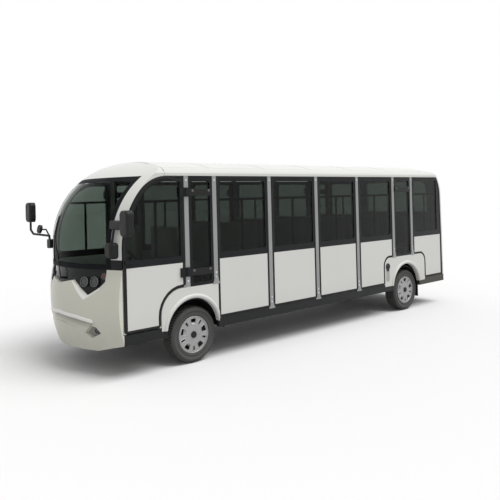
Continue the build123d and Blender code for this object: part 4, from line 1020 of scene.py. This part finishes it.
class BUS_OT_tyres(bpy.types.Operator):
    """Builds the four tyres with tread, shoulders and sidewall rings"""
    bl_idname = "bus.tyres"
    bl_label = "Tyres"

    def execute(self, context):
        depth = context.scene.bus_sizes.tread_depth
        count = context.scene.bus_sizes.tread_count
        tree = kept_tree("slices_round_a_wheel", wheel_tree)
        block = bpy.data.objects.new("tread_slice", self.slice_mesh(depth, count))
        context.scene.collection.objects.link(block)
        for name, (x, side) in WHEELS.items():
            bm = bmesh.new()
            lathe(bm, self.carcass(depth), 96, closed=True)
            piece = grown("tyre_dressed_" + name, mesh_from(bm, "carcass", outward=True), tree, {
                "Count": count, "Slice": block, "Place": (x, side * WHEEL_Y, TYRE_R),
                "Finish": FINISH["tyre"]}, "wheel_" + name)
            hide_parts("tyre_" + name)
        bpy.data.objects.remove(block)
        return {"FINISHED"}

    def carcass(self, depth):
        """Section of the tyre below its tread, with rings on the sidewalls."""
        half = TYRE_W / 2
        r = TYRE_R - depth
        wall = [(r, half - 0.030), (r - 0.006, half - 0.014), (r - 0.020, half - 0.004),
                (r - 0.028, half - 0.0035), (r - 0.029, half - 0.0005), (r - 0.034, half - 0.0005),
                (r - 0.035, half - 0.003), (r - 0.058, half - 0.002), (RIM_R + 0.022, half - 0.006),
                (RIM_R + 0.020, half - 0.003), (RIM_R + 0.012, half - 0.004), (RIM_R + 0.0008, half - 0.012)]
        return wall + [(radius, -y) for radius, y in reversed(wall)]

    def slice_mesh(self, depth, count):
        """One slice of tread: three centre blocks and two shoulder blocks, each with a chamfer."""
        bm = bmesh.new()
        half = TYRE_W / 2
        length = 2 * math.pi * TYRE_R / count * TREAD_SHARE
        base, top = TYRE_R - depth - TREAD_SINK, TYRE_R - ROAD_CLEAR
        ribs = [MIDDLE_RIB]
        for middle, width, lean in SIDE_RIBS:
            ribs += [(middle, width, lean), (-middle, width, -lean)]
        for middle, width, lean in ribs:
            y0, y1 = middle - width / 2, middle + width / 2
            corners = []
            for level, shrink in ((base, 0.0), (top, TREAD_CHAMFER)):
                for a, y in ((-1, y0 + shrink), (1, y0 + shrink), (1, y1 - shrink), (-1, y1 - shrink)):
                    along = a * (length / 2 - shrink) + lean * (y - middle) * 0.5
                    falls = level == top and abs(y) > half - SHOULDER_W
                    radius = level - (SHOULDER_DROP if falls else 0)
                    turn = along / TYRE_R
                    corners.append(bm.verts.new((radius * math.cos(turn), y, radius * math.sin(turn))))
            bm.faces.new(corners[:4])
            bm.faces.new(corners[4:])
            join_rows(bm, corners[:4], corners[4:])
        return mesh_from(bm, "tread_slice", outward=True)


class BUS_OT_wheels(bpy.types.Operator):
    """Adds rim lips, hub caps, brake drums and the relief of the covers to the wheels"""
    bl_idname = "bus.wheels"
    bl_label = "Wheel details"

    def execute(self, context):
        lip = oval(LIP_MIDDLE, LIP_HALF, 10)
        details = (("brake_drum", DRUM_SECTION, 48, True, "drum", "chassis_black"),
                   ("rim_lip", lip, 72, True, "wheel", "wheel_silver"),
                   ("hub_cap", CAP_SECTION, 36, False, "trim", "trim_black"))
        for name, (x, side) in WHEELS.items():
            place = Matrix.Translation((x, side * WHEEL_Y, TYRE_R)) @ Matrix.Diagonal((1, side, 1, 1))
            for label, section, steps, closed, finish, slot in details:
                bm = bmesh.new()
                lathe(bm, section, steps, closed)
                bmesh.ops.remove_doubles(bm, verts=bm.verts, dist=0.0004)
                bm.transform(place)
                mesh_piece("%s_%s" % (label, name), bm, FINISH[finish], "wheel_" + name)
        for side in SIDES.values():
            self.covers(context, side)
        return {"FINISHED"}

    def covers(self, context, side):
        """Raised rims and sloping cheeks round the openings of the covers on one side."""
        tree = kept_tree("slices_round_a_wheel", wheel_tree)
        block = bpy.data.objects.new("cover_slice", self.cover_slice(side))
        context.scene.collection.objects.link(block)
        middle = (HUB_RING_R, side * COVER_Y)
        half = (HUB_RING_HALF[0], side * HUB_RING_HALF[1])
        for name, (x, wheel_side) in WHEELS.items():
            if wheel_side == side:
                hub = bmesh.new()
                lathe(hub, oval(middle, half, 8), 48, closed=True)
                grown("cover_relief_" + name, mesh_from(hub, "hub_ring"), tree, {
                    "Count": COVER_COUNT, "Slice": block, "Place": (x, side * WHEEL_Y, TYRE_R),
                    "Finish": FINISH["wheel"]}, "wheel_" + name)
        bpy.data.objects.remove(block)

    def cover_slice(self, side):
        """Relief of one wide and one narrow opening, the wide one upward."""
        bm = bmesh.new()
        for inner_r, inner_w, outer_w, rounding, turn in COVER_OPENINGS:
            spin = Matrix.Rotation(math.radians(turn), 3, "Y")
            rings = []
            for grow, lift in OPENING_STEPS:
                inner, outer, r = inner_w + grow, outer_w + grow, rounding + grow
                low, high = inner_r - grow, COVER_R1 + grow
                outline = rounded_outline([
                    (-inner, low, r), (-outer, high, r), (outer, high, r), (inner, low, r)])
                y = side * (COVER_Y + lift)
                rings.append([bm.verts.new(spin @ Vector((p[0], y, p[1]))) for p in outline])
            for first, second in zip(rings, rings[1:]):
                join_rows(bm, first, second)
            if turn == 0:
                self.cheek(bm, inner_r, inner_w, outer_w, side)
        return mesh_from(bm, "cover_slice", outward=True)

    def cheek(self, bm, inner_r, inner_w, outer_w, side):
        """The slope that falls from the cover's face into a wide opening."""
        rows = []
        for k in range(CHEEK_STEPS + 1):
            share = k / CHEEK_STEPS
            radius = inner_r - CHEEK_START + CHEEK_RUN * share
            widening = max(radius - inner_r, 0) / (COVER_R1 - inner_r)
            half = inner_w + (outer_w - inner_w) * widening + CHEEK_LAP
            y = side * (COVER_Y + CHEEK_RISE - CHEEK_FALL * share ** CHEEK_CURVE)
            rows.append([bm.verts.new((half * a, y, radius)) for a in (-1, -0.5, 0, 0.5, 1)])
        for first, second in zip(rows, rows[1:]):
            join_rows(bm, first, second, closed=False)


class BUS_OT_seats(bpy.types.Operator):
    """Swells the benches and seats into padded covers with sewn channels"""
    bl_idname = "bus.seats"
    bl_label = "Padded seats"

    def execute(self, context):
        swell = context.scene.bus_sizes.seat_swell
        forms = {}
        for kind, (y0, y1), seams in (("bench", BENCH_SPAN, BENCH_SEAMS), ("seat", SEAT_SPAN, ())):
            back = (0, y0, PAD_LOW), (BACK_T, y1, BACK_TOP)
            cushion = (BACK_T + SEAT_SPLIT, y0, PAD_LOW), (BACK_T + SEAT_LENGTH, y1, SEAT_TOP)
            for part, (low, high) in (("back", back), ("cushion", cushion)):
                forms[kind, part] = self.pad(low, high, swell, seams, part)
        places = [("bench", x, 1) for x in BENCH_X]
        places += [("seat", FRONT_SEAT_X, side) for side in SIDES.values()]
        for label, node, part in (("seat_back_pad", "seat_backs", "back"),
                                  ("seat_pad", "seat_cushions", "cushion")):
            for index, (kind, x, side) in enumerate(places):
                mesh = forms[kind, part].copy()
                mesh.transform(Matrix.Translation((x, 0, 0)) @ Matrix.Diagonal((1, side, 1, 1)))
                if side < 0:
                    mesh.flip_normals()
                piece = mesh_piece("%s_%d" % (label, index + 1), mesh, FINISH["vinyl"], BODY)
                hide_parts(node)
        for form in forms.values():
            bpy.data.meshes.remove(form)
        return {"FINISHED"}

    def pad(self, low, high, swell, seams, part):
        """One padded form: a slightly smaller block, remeshed, blown up as cloth and sewn in."""
        bm = bmesh.new()
        start = Vector(low) + Vector((PAD_START * 0.6, PAD_START, PAD_FOOT[part]))
        end = Vector(high) - Vector((PAD_START * 0.6, PAD_START, PAD_START))
        add_box(bm, start, end, PAD_ROUND, 4)
        form = bpy.data.objects.new("pad_form", mesh_from(bm, "pad_form"))
        bpy.context.scene.collection.objects.link(form)
        remesh = form.modifiers.new("remesh", "REMESH")
        remesh.mode = "VOXEL"
        remesh.voxel_size = PAD_VOXEL
        self.bake(form)
        rest = [v.co.copy() for v in form.data.vertices]
        self.blow(form)
        for index, vert in enumerate(form.data.vertices):
            move = vert.co - rest[index]
            if move.length > swell:
                move = move * (swell / move.length)
            vert.co = self.sewn(rest[index] + move, low, high, seams, part)
        smooth = form.modifiers.new("smooth", "SUBSURF")
        smooth.levels = smooth.render_levels = 1
        self.bake(form)
        result = form.data
        bpy.data.objects.remove(form)
        return result

    def blow(self, form):
        """Swells a form as cloth under pressure and keeps the last frame."""
        cloth = form.modifiers.new("cloth", "CLOTH")
        cloth.settings.use_pressure = True
        cloth.settings.uniform_pressure_force = PRESSURE
        cloth.settings.effector_weights.gravity = 0.0
        cloth.settings.quality = 5
        cloth.point_cache.frame_start = 1
        cloth.point_cache.frame_end = CLOTH_FRAMES
        for step in range(1, CLOTH_FRAMES + 1):
            bpy.context.scene.frame_set(step)
        self.bake(form)
        bpy.context.scene.frame_set(1)

    def sewn(self, point, low, high, seams, part):
        """A point drawn in along seams and pleats and held inside the pad's box."""
        along = 2 if part == "back" else 0
        count, first, last = PLEATS[part]
        span = high[along] - low[along] - last - first
        pinch = max([math.exp(-((point.y - seam) / SEAM_W) ** 2) for seam in seams], default=0.0)
        if min(abs(point.y - edge) for edge in (low[1], high[1], *seams)) > PLEAT_MARGIN:
            for k in range(count):
                offset = point[along] - low[along] - first - span * k / (count - 1)
                pinch = max(pinch, PLEAT_SHARE * math.exp(-(offset / PLEAT_W) ** 2))
        if part == "back":
            facing = point.x > (low[0] + high[0]) / 2
            point.x += -SEAM_DEPTH["front"] * pinch if facing else SEAM_DEPTH["rear"] * pinch
        elif point.z > (low[2] + high[2]) / 2:
            point.z -= SEAM_DEPTH["top"] * pinch
        for axis, crown in enumerate((0, 0, PAD_CROWN)):
            point[axis] = min(max(point[axis], low[axis] + PAD_MARGIN), high[axis] - PAD_MARGIN + crown)
        return point

    def bake(self, form):
        """Replaces the object's mesh by its evaluated one and drops its modifiers."""
        bpy.context.view_layer.update()
        depsgraph = bpy.context.evaluated_depsgraph_get()
        mesh = bpy.data.meshes.new_from_object(form.evaluated_get(depsgraph))
        form.modifiers.clear()
        old = form.data
        form.data = mesh
        bpy.data.meshes.remove(old)


class BUS_OT_fittings(bpy.types.Operator):
    """Adds hinge straps, wheel liners, the charge scoop's painted shade, pillar feet and screws"""
    bl_idname = "bus.fittings"
    bl_label = "Straps, feet and screws"

    def execute(self, context):
        straps = bmesh.new()
        liners = bmesh.new()
        rear_strap = (PILLAR_X["ne"] + REAR_STRAP_INSET, PILLAR_X["dn"] - REAR_STRAP_INSET)
        for side in SIDES.values():
            for z in STRAP_Z:
                rise = (z - STRAP_HALF, z + STRAP_HALF)
                side_box(straps, side, STRAP_X, (SIDE_Y, SIDE_Y + STRAP_T), rise, 0.005)
            side_box(straps, side, rear_strap, (SIDE_Y, SIDE_Y + REAR_STRAP_T), REAR_STRAP_Z, 0.004)
            side_box(liners, side, *LINER_BOX, 0.003)
        mesh_piece("narrow_panel_straps", straps, FINISH["trim"], BODY, smooth=False)
        mesh_piece("wheel_liners", liners, FINISH["rubber"], BODY, smooth=False)
        self.charge_recess()
        feet = bmesh.new()
        for pillars, z, spread in FOOT_PLATES:
            for pillar in pillars:
                self.foot(feet, PILLAR_X[pillar], z, spread)
        mesh_piece("pillar_feet", feet, FINISH["foot"], BODY, smooth=False)
        for label, side in SIDES.items():
            self.screws(label, side)
        return {"FINISHED"}

    def screws(self, label, side):
        """Bolts of the straps and screws of the pillars on one side."""
        tree = kept_tree("screw_heads", screw_tree)
        turn = (math.pi / 2, 0, 0)
        y = side * (SIDE_Y + STRAP_T + BOLT_LIFT)
        bolts = [(x, y, z + STRAP_BOLT_RISE) for z in STRAP_Z for x in STRAP_BOLT_X]
        y = side * (SIDE_Y + REAR_STRAP_T + BOLT_LIFT)
        rear_x = (PILLAR_X["ne"] + REAR_BOLT_INSET, PILLAR_X["dn"] - REAR_BOLT_INSET)
        bolts += [(x, y, REAR_BOLT_Z) for x in rear_x]
        grown("strap_bolts_" + label, points_mesh("bolt_points", bolts), tree, {
            "Radius": BOLT_SIZE[0], "Height": BOLT_SIZE[1], "Turn": turn, "Finish": FINISH["bolt"]},
            BODY, smooth=False)
        y = side * (SIDE_Y + BOLT_LIFT)
        points = []
        for name, x in PILLAR_X.items():
            foot = ARCH_TOP if name in ARCH_PILLARS else SILL_TOP
            points += [(x, y, z) for z in (*(foot + rise for rise in SCREW_RISES), SCREW_TOP_Z)]
        grown("screws_" + label, points_mesh("screw_points", points), tree, {
            "Radius": SCREW_SIZE[0], "Height": SCREW_SIZE[1], "Turn": turn, "Finish": FINISH["steel"]},
            BODY, smooth=False)

    def charge_recess(self):
        """A flat grey film below the charge port: the painted shade of the scoop's recess."""
        scoop = bmesh.new()
        low = CHARGE_Z - SCOOP_DEEP
        outline = rounded_outline([
            (-SCOOP_HALF, low, SCOOP_R), (SCOOP_HALF, low, SCOOP_R), (SCOOP_HALF, CHARGE_Z, 0),
            (-SCOOP_HALF, CHARGE_Z, 0)])
        scoop.faces.new([scoop.verts.new((CHARGE_X + p[0], SIDE_Y + FILM, p[1])) for p in outline])
        mesh_piece("charge_scoop", scoop, FINISH["scoop"], BODY, smooth=False)

    def foot(self, bm, x, z, spread):
        """A flared foot plate at the base of one pillar on the left."""
        flank = [(PILLAR_HALF + spread * 0.55, 0), (PILLAR_HALF + spread * 0.45, 0.008),
                 (PILLAR_HALF + spread * 0.12, 0.030), (PILLAR_HALF - 0.001, 0.065)]
        outline = flank + [(-u, v) for u, v in reversed(flank)]
        rings = [[bm.verts.new((x + u, y, z + v)) for u, v in outline] for y in FOOT_Y]
        for ring in rings:
            bm.faces.new(ring)
        join_rows(bm, *rings)


def lamp_place(mesh, faces):
    """Middle of a lamp's ring, the way it faces and the ring's radius, read from the solid."""
    areas = {}
    for face in faces:
        if face.normal.x > 0.3:
            key = tuple(round(c, 2) for c in face.normal)
            areas[key] = areas.get(key, 0) + face.area
    away = Vector(max(areas, key=areas.get)).normalized()
    points = [mesh.vertices[k].co for face in faces for k in face.vertices]
    front = max(p.dot(away) for p in points)
    ring = [p for p in points if p.dot(away) > front - 0.0005]
    low, high = box_of(ring)
    middle = (low + high) / 2
    return middle, away, max((p - middle).length for p in ring)


class BUS_OT_lamps(bpy.types.Operator):
    """Sets a domed lens, a bead and a bulb shield in the lamps and bands on the tail lamps"""
    bl_idname = "bus.lamps"
    bl_label = "Lamp lenses"

    def execute(self, context):
        mesh = NODES["head_lamps"].data
        groups = {key: bmesh.new() for key in ("lens", "amber", "chrome", "rim")}
        for faces in islands(mesh):
            middle, away, radius = lamp_place(mesh, faces)
            place = Matrix.Translation(middle) @ away.to_track_quat("Y", "Z").to_matrix().to_4x4()
            amber = middle.z > AMBER_Z and radius < LARGE_LAMP_R
            inner = radius - (AMBER_EDGE if amber else LENS_EDGE)
            outside = dome_arc(inner, LENS_FOOT, LENS_RISE, 7)
            inside = dome_arc(inner * LENS_SHRINK, LENS_FOOT - LENS_WALL, LENS_RISE, 7)
            self.turned(groups["amber" if amber else "lens"], outside + inside[::-1], 40, False, place)
            bead = oval((inner + LAMP_RIM_HALF, LAMP_RIM_OUT), (LAMP_RIM_HALF, LAMP_RIM_HALF), 10)
            self.turned(groups["rim"], bead, 48, True, place)
            if radius > LARGE_LAMP_R:
                cap = dome_arc(inner * SHIELD_SHARE, SHIELD_FOOT, SHIELD_RISE, 5)
                self.turned(groups["chrome"], cap, 24, False, place)
        for key, bm in groups.items():
            mesh_piece("lamp_" + key, bm, FINISH[key], BODY)
        for key, low, high in TAIL_BANDS:
            self.tail_band(key, low, high)
        return {"FINISHED"}

    def tail_band(self, key, low, high):
        """A band of another colour across both tail lamps, between two shares of their height."""
        mesh = NODES["tail_lamps"].data
        bm = bmesh.new()
        for faces in islands(mesh):
            rear = max((face for face in faces if face.normal.x < -0.9), key=lambda face: face.area)
            foot, top = box_of([mesh.vertices[k].co for face in faces for k in face.vertices])
            rise = top.z - foot.z
            part = bmesh.new()
            add_box(part, (TAIL_BAND_X[0], foot.y + TAIL_BAND_INSET, foot.z + rise * low),
                    (TAIL_BAND_X[1], top.y - TAIL_BAND_INSET, foot.z + rise * high), 0.0012)
            lean_y = -rear.normal.y / rear.normal.x
            lean_z = -rear.normal.z / rear.normal.x
            back = rear.center.x - lean_y * rear.center.y - lean_z * rear.center.z
            leaned = Matrix(((1, lean_y, lean_z, back), (0, 1, 0, 0), (0, 0, 1, 0), (0, 0, 0, 1)))
            self.take(bm, part, leaned)
        mesh_piece("tail_" + key, bm, FINISH[key], BODY, smooth=False)

    def turned(self, bm, profile, steps, closed, place):
        """Adds a profile turned about a lamp's axis."""
        part = bmesh.new()
        lathe(part, profile, steps, closed)
        self.take(bm, part, place)

    def take(self, bm, part, place):
        """Merges the seams of a part, puts it in place and adds it to the rest."""
        bmesh.ops.remove_doubles(part, verts=part.verts, dist=0.0002)
        part.transform(place)
        spare = mesh_from(part, "lamp_part")
        bm.from_mesh(spare)
        bpy.data.meshes.remove(spare)


class BUS_OT_mirrors(bpy.types.Operator):
    """Lays a silvered face on the rear of each mirror head"""
    bl_idname = "bus.mirrors"
    bl_label = "Mirror faces"

    def execute(self, context):
        mesh = NODES["mirrors"].data
        bm = bmesh.new()
        for side in SIDES.values():
            head = [v.co for v in mesh.vertices if v.co.y * side > MIRROR_HEAD_Y]
            rear_x = min(p.x for p in head)
            low, high = box_of([p for p in head if p.x < rear_x + 0.0005])
            y0, y1 = sorted(side * y for y in MIRROR_FACE_Y)
            z0, z1 = low.z + MIRROR_EDGE, high.z - MIRROR_EDGE
            corners = ((y0, z0), (y1, z0), (y1, z1), (y0, z1))
            outline = rounded_outline([(y, z, MIRROR_R) for y, z in corners])
            bm.faces.new([bm.verts.new((rear_x - FILM, p[0], p[1])) for p in outline])
        mesh_piece("mirror_faces", bm, FINISH["chrome"], BODY, smooth=False)
        return {"FINISHED"}


class BUS_OT_screen_band(bpy.types.Operator):
    """Prints a dull black band round the edge of the windscreen"""
    bl_idname = "bus.screen_band"
    bl_label = "Screen band"

    def execute(self, context):
        half_y, low_z, high_z = SCREEN_BORDER
        bm = bmesh.new()
        bm.from_mesh(NODES["windscreen"].data)
        bmesh.ops.remove_doubles(bm, verts=bm.verts, dist=0.00005)
        across, upward = (0, 1, 0), (0, 0, 1)
        for place, away in (((0, half_y, 0), across), ((0, -half_y, 0), across),
                            ((0, 0, low_z), upward), ((0, 0, high_z), upward)):
            whole = bm.verts[:] + bm.edges[:] + bm.faces[:]
            bmesh.ops.bisect_plane(bm, geom=whole, plane_co=place, plane_no=away)
        spare = []
        for face in bm.faces:
            middle = face.calc_center_median()
            clear = abs(middle.y) < half_y and low_z < middle.z < high_z
            if clear or face.normal.x < 0.15:
                spare.append(face)
        bmesh.ops.delete(bm, geom=spare, context="FACES")
        bm.normal_update()
        for vert in bm.verts:
            vert.co += vert.normal * SKIN_FILM
        mesh = mesh_from(bm, "screen_band")
        mesh_piece("screen_band", mesh, FINISH["screen_band"], BODY)
        return {"FINISHED"}


class BUS_OT_nose(bpy.types.Operator):
    """Adds the bumper lip and the bezel edge in painted-highlight white, and the lining of the fog lamp
    pockets
    """
    bl_idname = "bus.nose"
    bl_label = "Nose trim"

    def execute(self, context):
        skin = surface_of("front_panel")
        lip = []
        for k in range(-LIP_STEPS, LIP_STEPS + 1):
            y = LIP_HALF_Y * k / LIP_STEPS
            z = min(GROOVE_TOP[0] - GROOVE_TOP[1] * abs(y), GROOVE_TOP[2] - GROOVE_TOP[3] * abs(y))
            sunk = LIP_END_SINK if abs(k) == LIP_STEPS else LIP_SINK
            lip.append(self.skin_at(skin, y, z + LIP_RISE) - Vector((sunk, 0, 0)))
        # The lip's shape is real; its brighter white is a painted highlight
        grown("bumper_lip", path_mesh("lip_path", [lip]), kept_tree("bead", bead_tree), {
            "Width": LIP_SIZE[0], "Height": LIP_SIZE[1], "Face": (0, 0, 0), "Turn": (0, 0, 0),
            "Finish": FINISH["edge"]}, BODY)
        self.bezel_edge()
        self.fog_pockets(skin)
        return {"FINISHED"}

    def skin_at(self, skin, y, z):
        """The point of the nose that is met from ahead."""
        return skin.ray_cast(Vector((4, y, z)), Vector((-1, 0, 0)))[0]

    def bezel_edge(self):
        """A film of brighter white, a painted highlight, on the sloping edge round the lamp bezel."""
        mesh = NODES["front_panel"].data
        bm = bmesh.new()
        for face in mesh.polygons:
            middle = face.center
            near = BEZEL_HIGHLIGHT_Z[0] < middle.z < BEZEL_HIGHLIGHT_Z[1] and abs(middle.y) < BEZEL_HIGHLIGHT_Y
            if near and face.normal.z > 0.36 and face.normal.x > 0.4:
                lift = face.normal * SKIN_FILM
                bm.faces.new([bm.verts.new(mesh.vertices[k].co + lift) for k in face.vertices])
        bmesh.ops.remove_doubles(bm, verts=bm.verts, dist=0.0003)
        mesh_piece("bezel_edge", bm, FINISH["edge"], BODY, smooth=False)

    def fog_pockets(self, skin):
        """Grey lining on the floor of each fog lamp pocket."""
        bm = bmesh.new()
        for side in SIDES.values():
            corners = [Vector((side * y, z)) for y, z in FOG_POCKET]
            middle = sum(corners, Vector((0, 0))) / len(corners)
            ring = []
            for corner in corners + [middle]:
                place = self.skin_at(skin, *(middle + (corner - middle) * FOG_SHARE))
                ring.append(bm.verts.new(place + Vector((FOG_FILM, 0, 0))))
            for k in range(len(corners)):
                bm.faces.new((ring[k], ring[(k + 1) % len(corners)], ring[-1]))
        mesh_piece("fog_pockets", bm, FINISH["pocket"], BODY, smooth=False)


class BUS_OT_roof_seams(bpy.types.Operator):
    """Fills the grooves between the roof panels with sealant"""
    bl_idname = "bus.roof_seams"
    bl_label = "Roof seams"

    def execute(self, context):
        roof = surface_of("roof_panel")
        rear, front = ROOF_SEAM_X
        runs = []
        for side in SIDES.values():
            runs.append([(rear + (front - rear) * k / 40, side * RAIL_SEAM_Y) for k in range(41)])
        for seam in ("p2", "ab", "bc", "cd", "dn"):
            runs.append([(PILLAR_X[seam], RAIL_SEAM_Y * k / 10) for k in range(-10, 11)])
        runs.append([(front, FRONT_SEAM_Y * k / 16) for k in range(-16, 17)])
        paths = [[self.rest(roof, x, y) for x, y in run] for run in runs]
        grown("roof_seams", path_mesh("seam_paths", paths), kept_tree("bead", bead_tree), {
            "Width": SEALANT_SIZE[0], "Height": SEALANT_SIZE[1], "Face": (0, 0, 0), "Turn": (0, 0, 0),
            "Finish": FINISH["sealant"]}, BODY)
        return {"FINISHED"}

    def rest(self, roof, x, y):
        """The roof's surface over a point, beside the groove so that the sealant lies level with it."""
        around = ((SEAM_REACH, 0.0), (-SEAM_REACH, 0.0), (0.0, SEAM_REACH), (0.0, -SEAM_REACH))
        down = Vector((0, 0, -1))
        heights = sorted(roof.ray_cast(Vector((x + dx, y + dy, 4)), down)[0].z for dx, dy in around)
        return Vector((x, y, sum(heights[1:3]) / 2))


class BUS_OT_stage(bpy.types.Operator):
    """Sets the floor, the light and the camera"""
    bl_idname = "bus.stage"
    bl_label = "Stage"

    def execute(self, context):
        scene = context.scene
        scene.view_settings.view_transform = "Standard"
        self.floor(scene)
        self.world(scene)
        self.sun(scene)
        self.camera(scene)
        return {"FINISHED"}

    def floor(self, scene):
        """A pale floor that keeps the shadow."""
        mesh = bpy.data.meshes.new("studio_floor")
        corners = ((-1, -1), (1, -1), (1, 1), (-1, 1))
        mesh.from_pydata([(FLOOR_HALF * x, FLOOR_HALF * y, FLOOR_Z) for x, y in corners], [], [(0, 1, 2, 3)])
        floor = bpy.data.objects.new("studio_floor", mesh)
        scene.collection.objects.link(floor)
        finish, tree, shader = new_finish("studio_floor")
        shown = blend_colour(tree, self.seen_rays(tree), FLOOR_LIT, FLOOR_SEEN)
        tree.links.new(shown, shader.inputs["Base Color"])
        shader.inputs["Roughness"].default_value = 0.9
        shader.inputs["Specular IOR Level"].default_value = 0.1
        mesh.materials.append(finish)

    def world(self, scene):
        """A sky that looks white and lights the bus at a plain level."""
        world = bpy.data.worlds.new("studio")
        scene.world = world
        world.use_nodes = True
        tree = world.node_tree
        back = tree.nodes["Background"]
        back.inputs["Color"].default_value = (1, 1, 1, 1)
        tree.links.new(ramp(tree, self.seen_rays(tree), 0, 1, SKY_STRENGTH, 1.0), back.inputs["Strength"])

    def seen_rays(self, tree):
        """1 for rays that show the surroundings, straight or by metal and glass, and 0 for light."""
        rays = add(tree, "ShaderNodeLightPath").outputs
        seen = maths(tree, "MAXIMUM", rays["Is Camera Ray"], rays["Is Transmission Ray"])
        return maths(tree, "MAXIMUM", seen, rays["Is Glossy Ray"])

    def sun(self, scene):
        """One broad, soft light from above."""
        light = bpy.data.lights.new("key", "SUN")
        light.angle = SUN_SPREAD
        light.energy = SUN_STRENGTH
        lamp = bpy.data.objects.new("key", light)
        scene.collection.objects.link(lamp)
        lamp.rotation_euler = Vector(SUN_TOWARDS).to_track_quat("-Z", "Y").to_euler()

    def camera(self, scene):
        """The photo's point of view."""
        data = bpy.data.cameras.new("photo_view")
        camera = bpy.data.objects.new("photo_view", data)
        scene.collection.objects.link(camera)
        scene.camera = camera
        yaw, pitch, roll = (math.radians(v) for v in CAMERA_TURN)
        ahead = Vector((-math.cos(yaw) * math.cos(pitch), -math.sin(yaw) * math.cos(pitch), math.sin(pitch)))
        level = ahead.cross(Vector((0, 0, 1))).normalized()
        upright = level.cross(ahead)
        right = math.cos(roll) * level + math.sin(roll) * upright
        up = math.cos(roll) * upright - math.sin(roll) * level
        turn = Matrix((right, up, -ahead)).transposed().to_4x4()
        camera.matrix_world = Matrix.Translation(CAMERA_PLACE) @ turn
        data.sensor_width = CAMERA_SENSOR
        data.lens = CAMERA_LENS
        data.shift_x, data.shift_y = CAMERA_SHIFT
        data.clip_end = CAMERA_REACH


OPERATORS = [BUS_OT_finishes, BUS_OT_seals, BUS_OT_window_bars, BUS_OT_tyres, BUS_OT_wheels, BUS_OT_seats,
             BUS_OT_fittings, BUS_OT_lamps, BUS_OT_mirrors, BUS_OT_screen_band, BUS_OT_nose,
             BUS_OT_roof_seams, BUS_OT_stage]


class BUS_PT_panel(bpy.types.Panel):
    """Lists the steps that dress the bus"""
    bl_idname = "BUS_PT_panel"
    bl_label = "Sightseeing bus"
    bl_space_type = "VIEW_3D"
    bl_region_type = "UI"
    bl_category = "Bus"

    def draw(self, context):
        for group in (context.scene.bus_paint, context.scene.bus_sizes):
            for name in group.__annotations__:
                self.layout.prop(group, name)
        for operator in OPERATORS:
            self.layout.operator(operator.bl_idname)


CLASSES = [BusPaint, BusSizes, *OPERATORS, BUS_PT_panel]


def register():
    for item in CLASSES:
        bpy.utils.register_class(item)
    bpy.types.Scene.bus_paint = bpy.props.PointerProperty(type=BusPaint)
    bpy.types.Scene.bus_sizes = bpy.props.PointerProperty(type=BusSizes)


def unregister():
    del bpy.types.Scene.bus_paint
    del bpy.types.Scene.bus_sizes
    for item in reversed(CLASSES):
        bpy.utils.unregister_class(item)


def main():
    register()
    for operator in OPERATORS:
        getattr(bpy.ops.bus, operator.bl_idname.split(".")[1])()


if __name__ == "__main__":
    main()
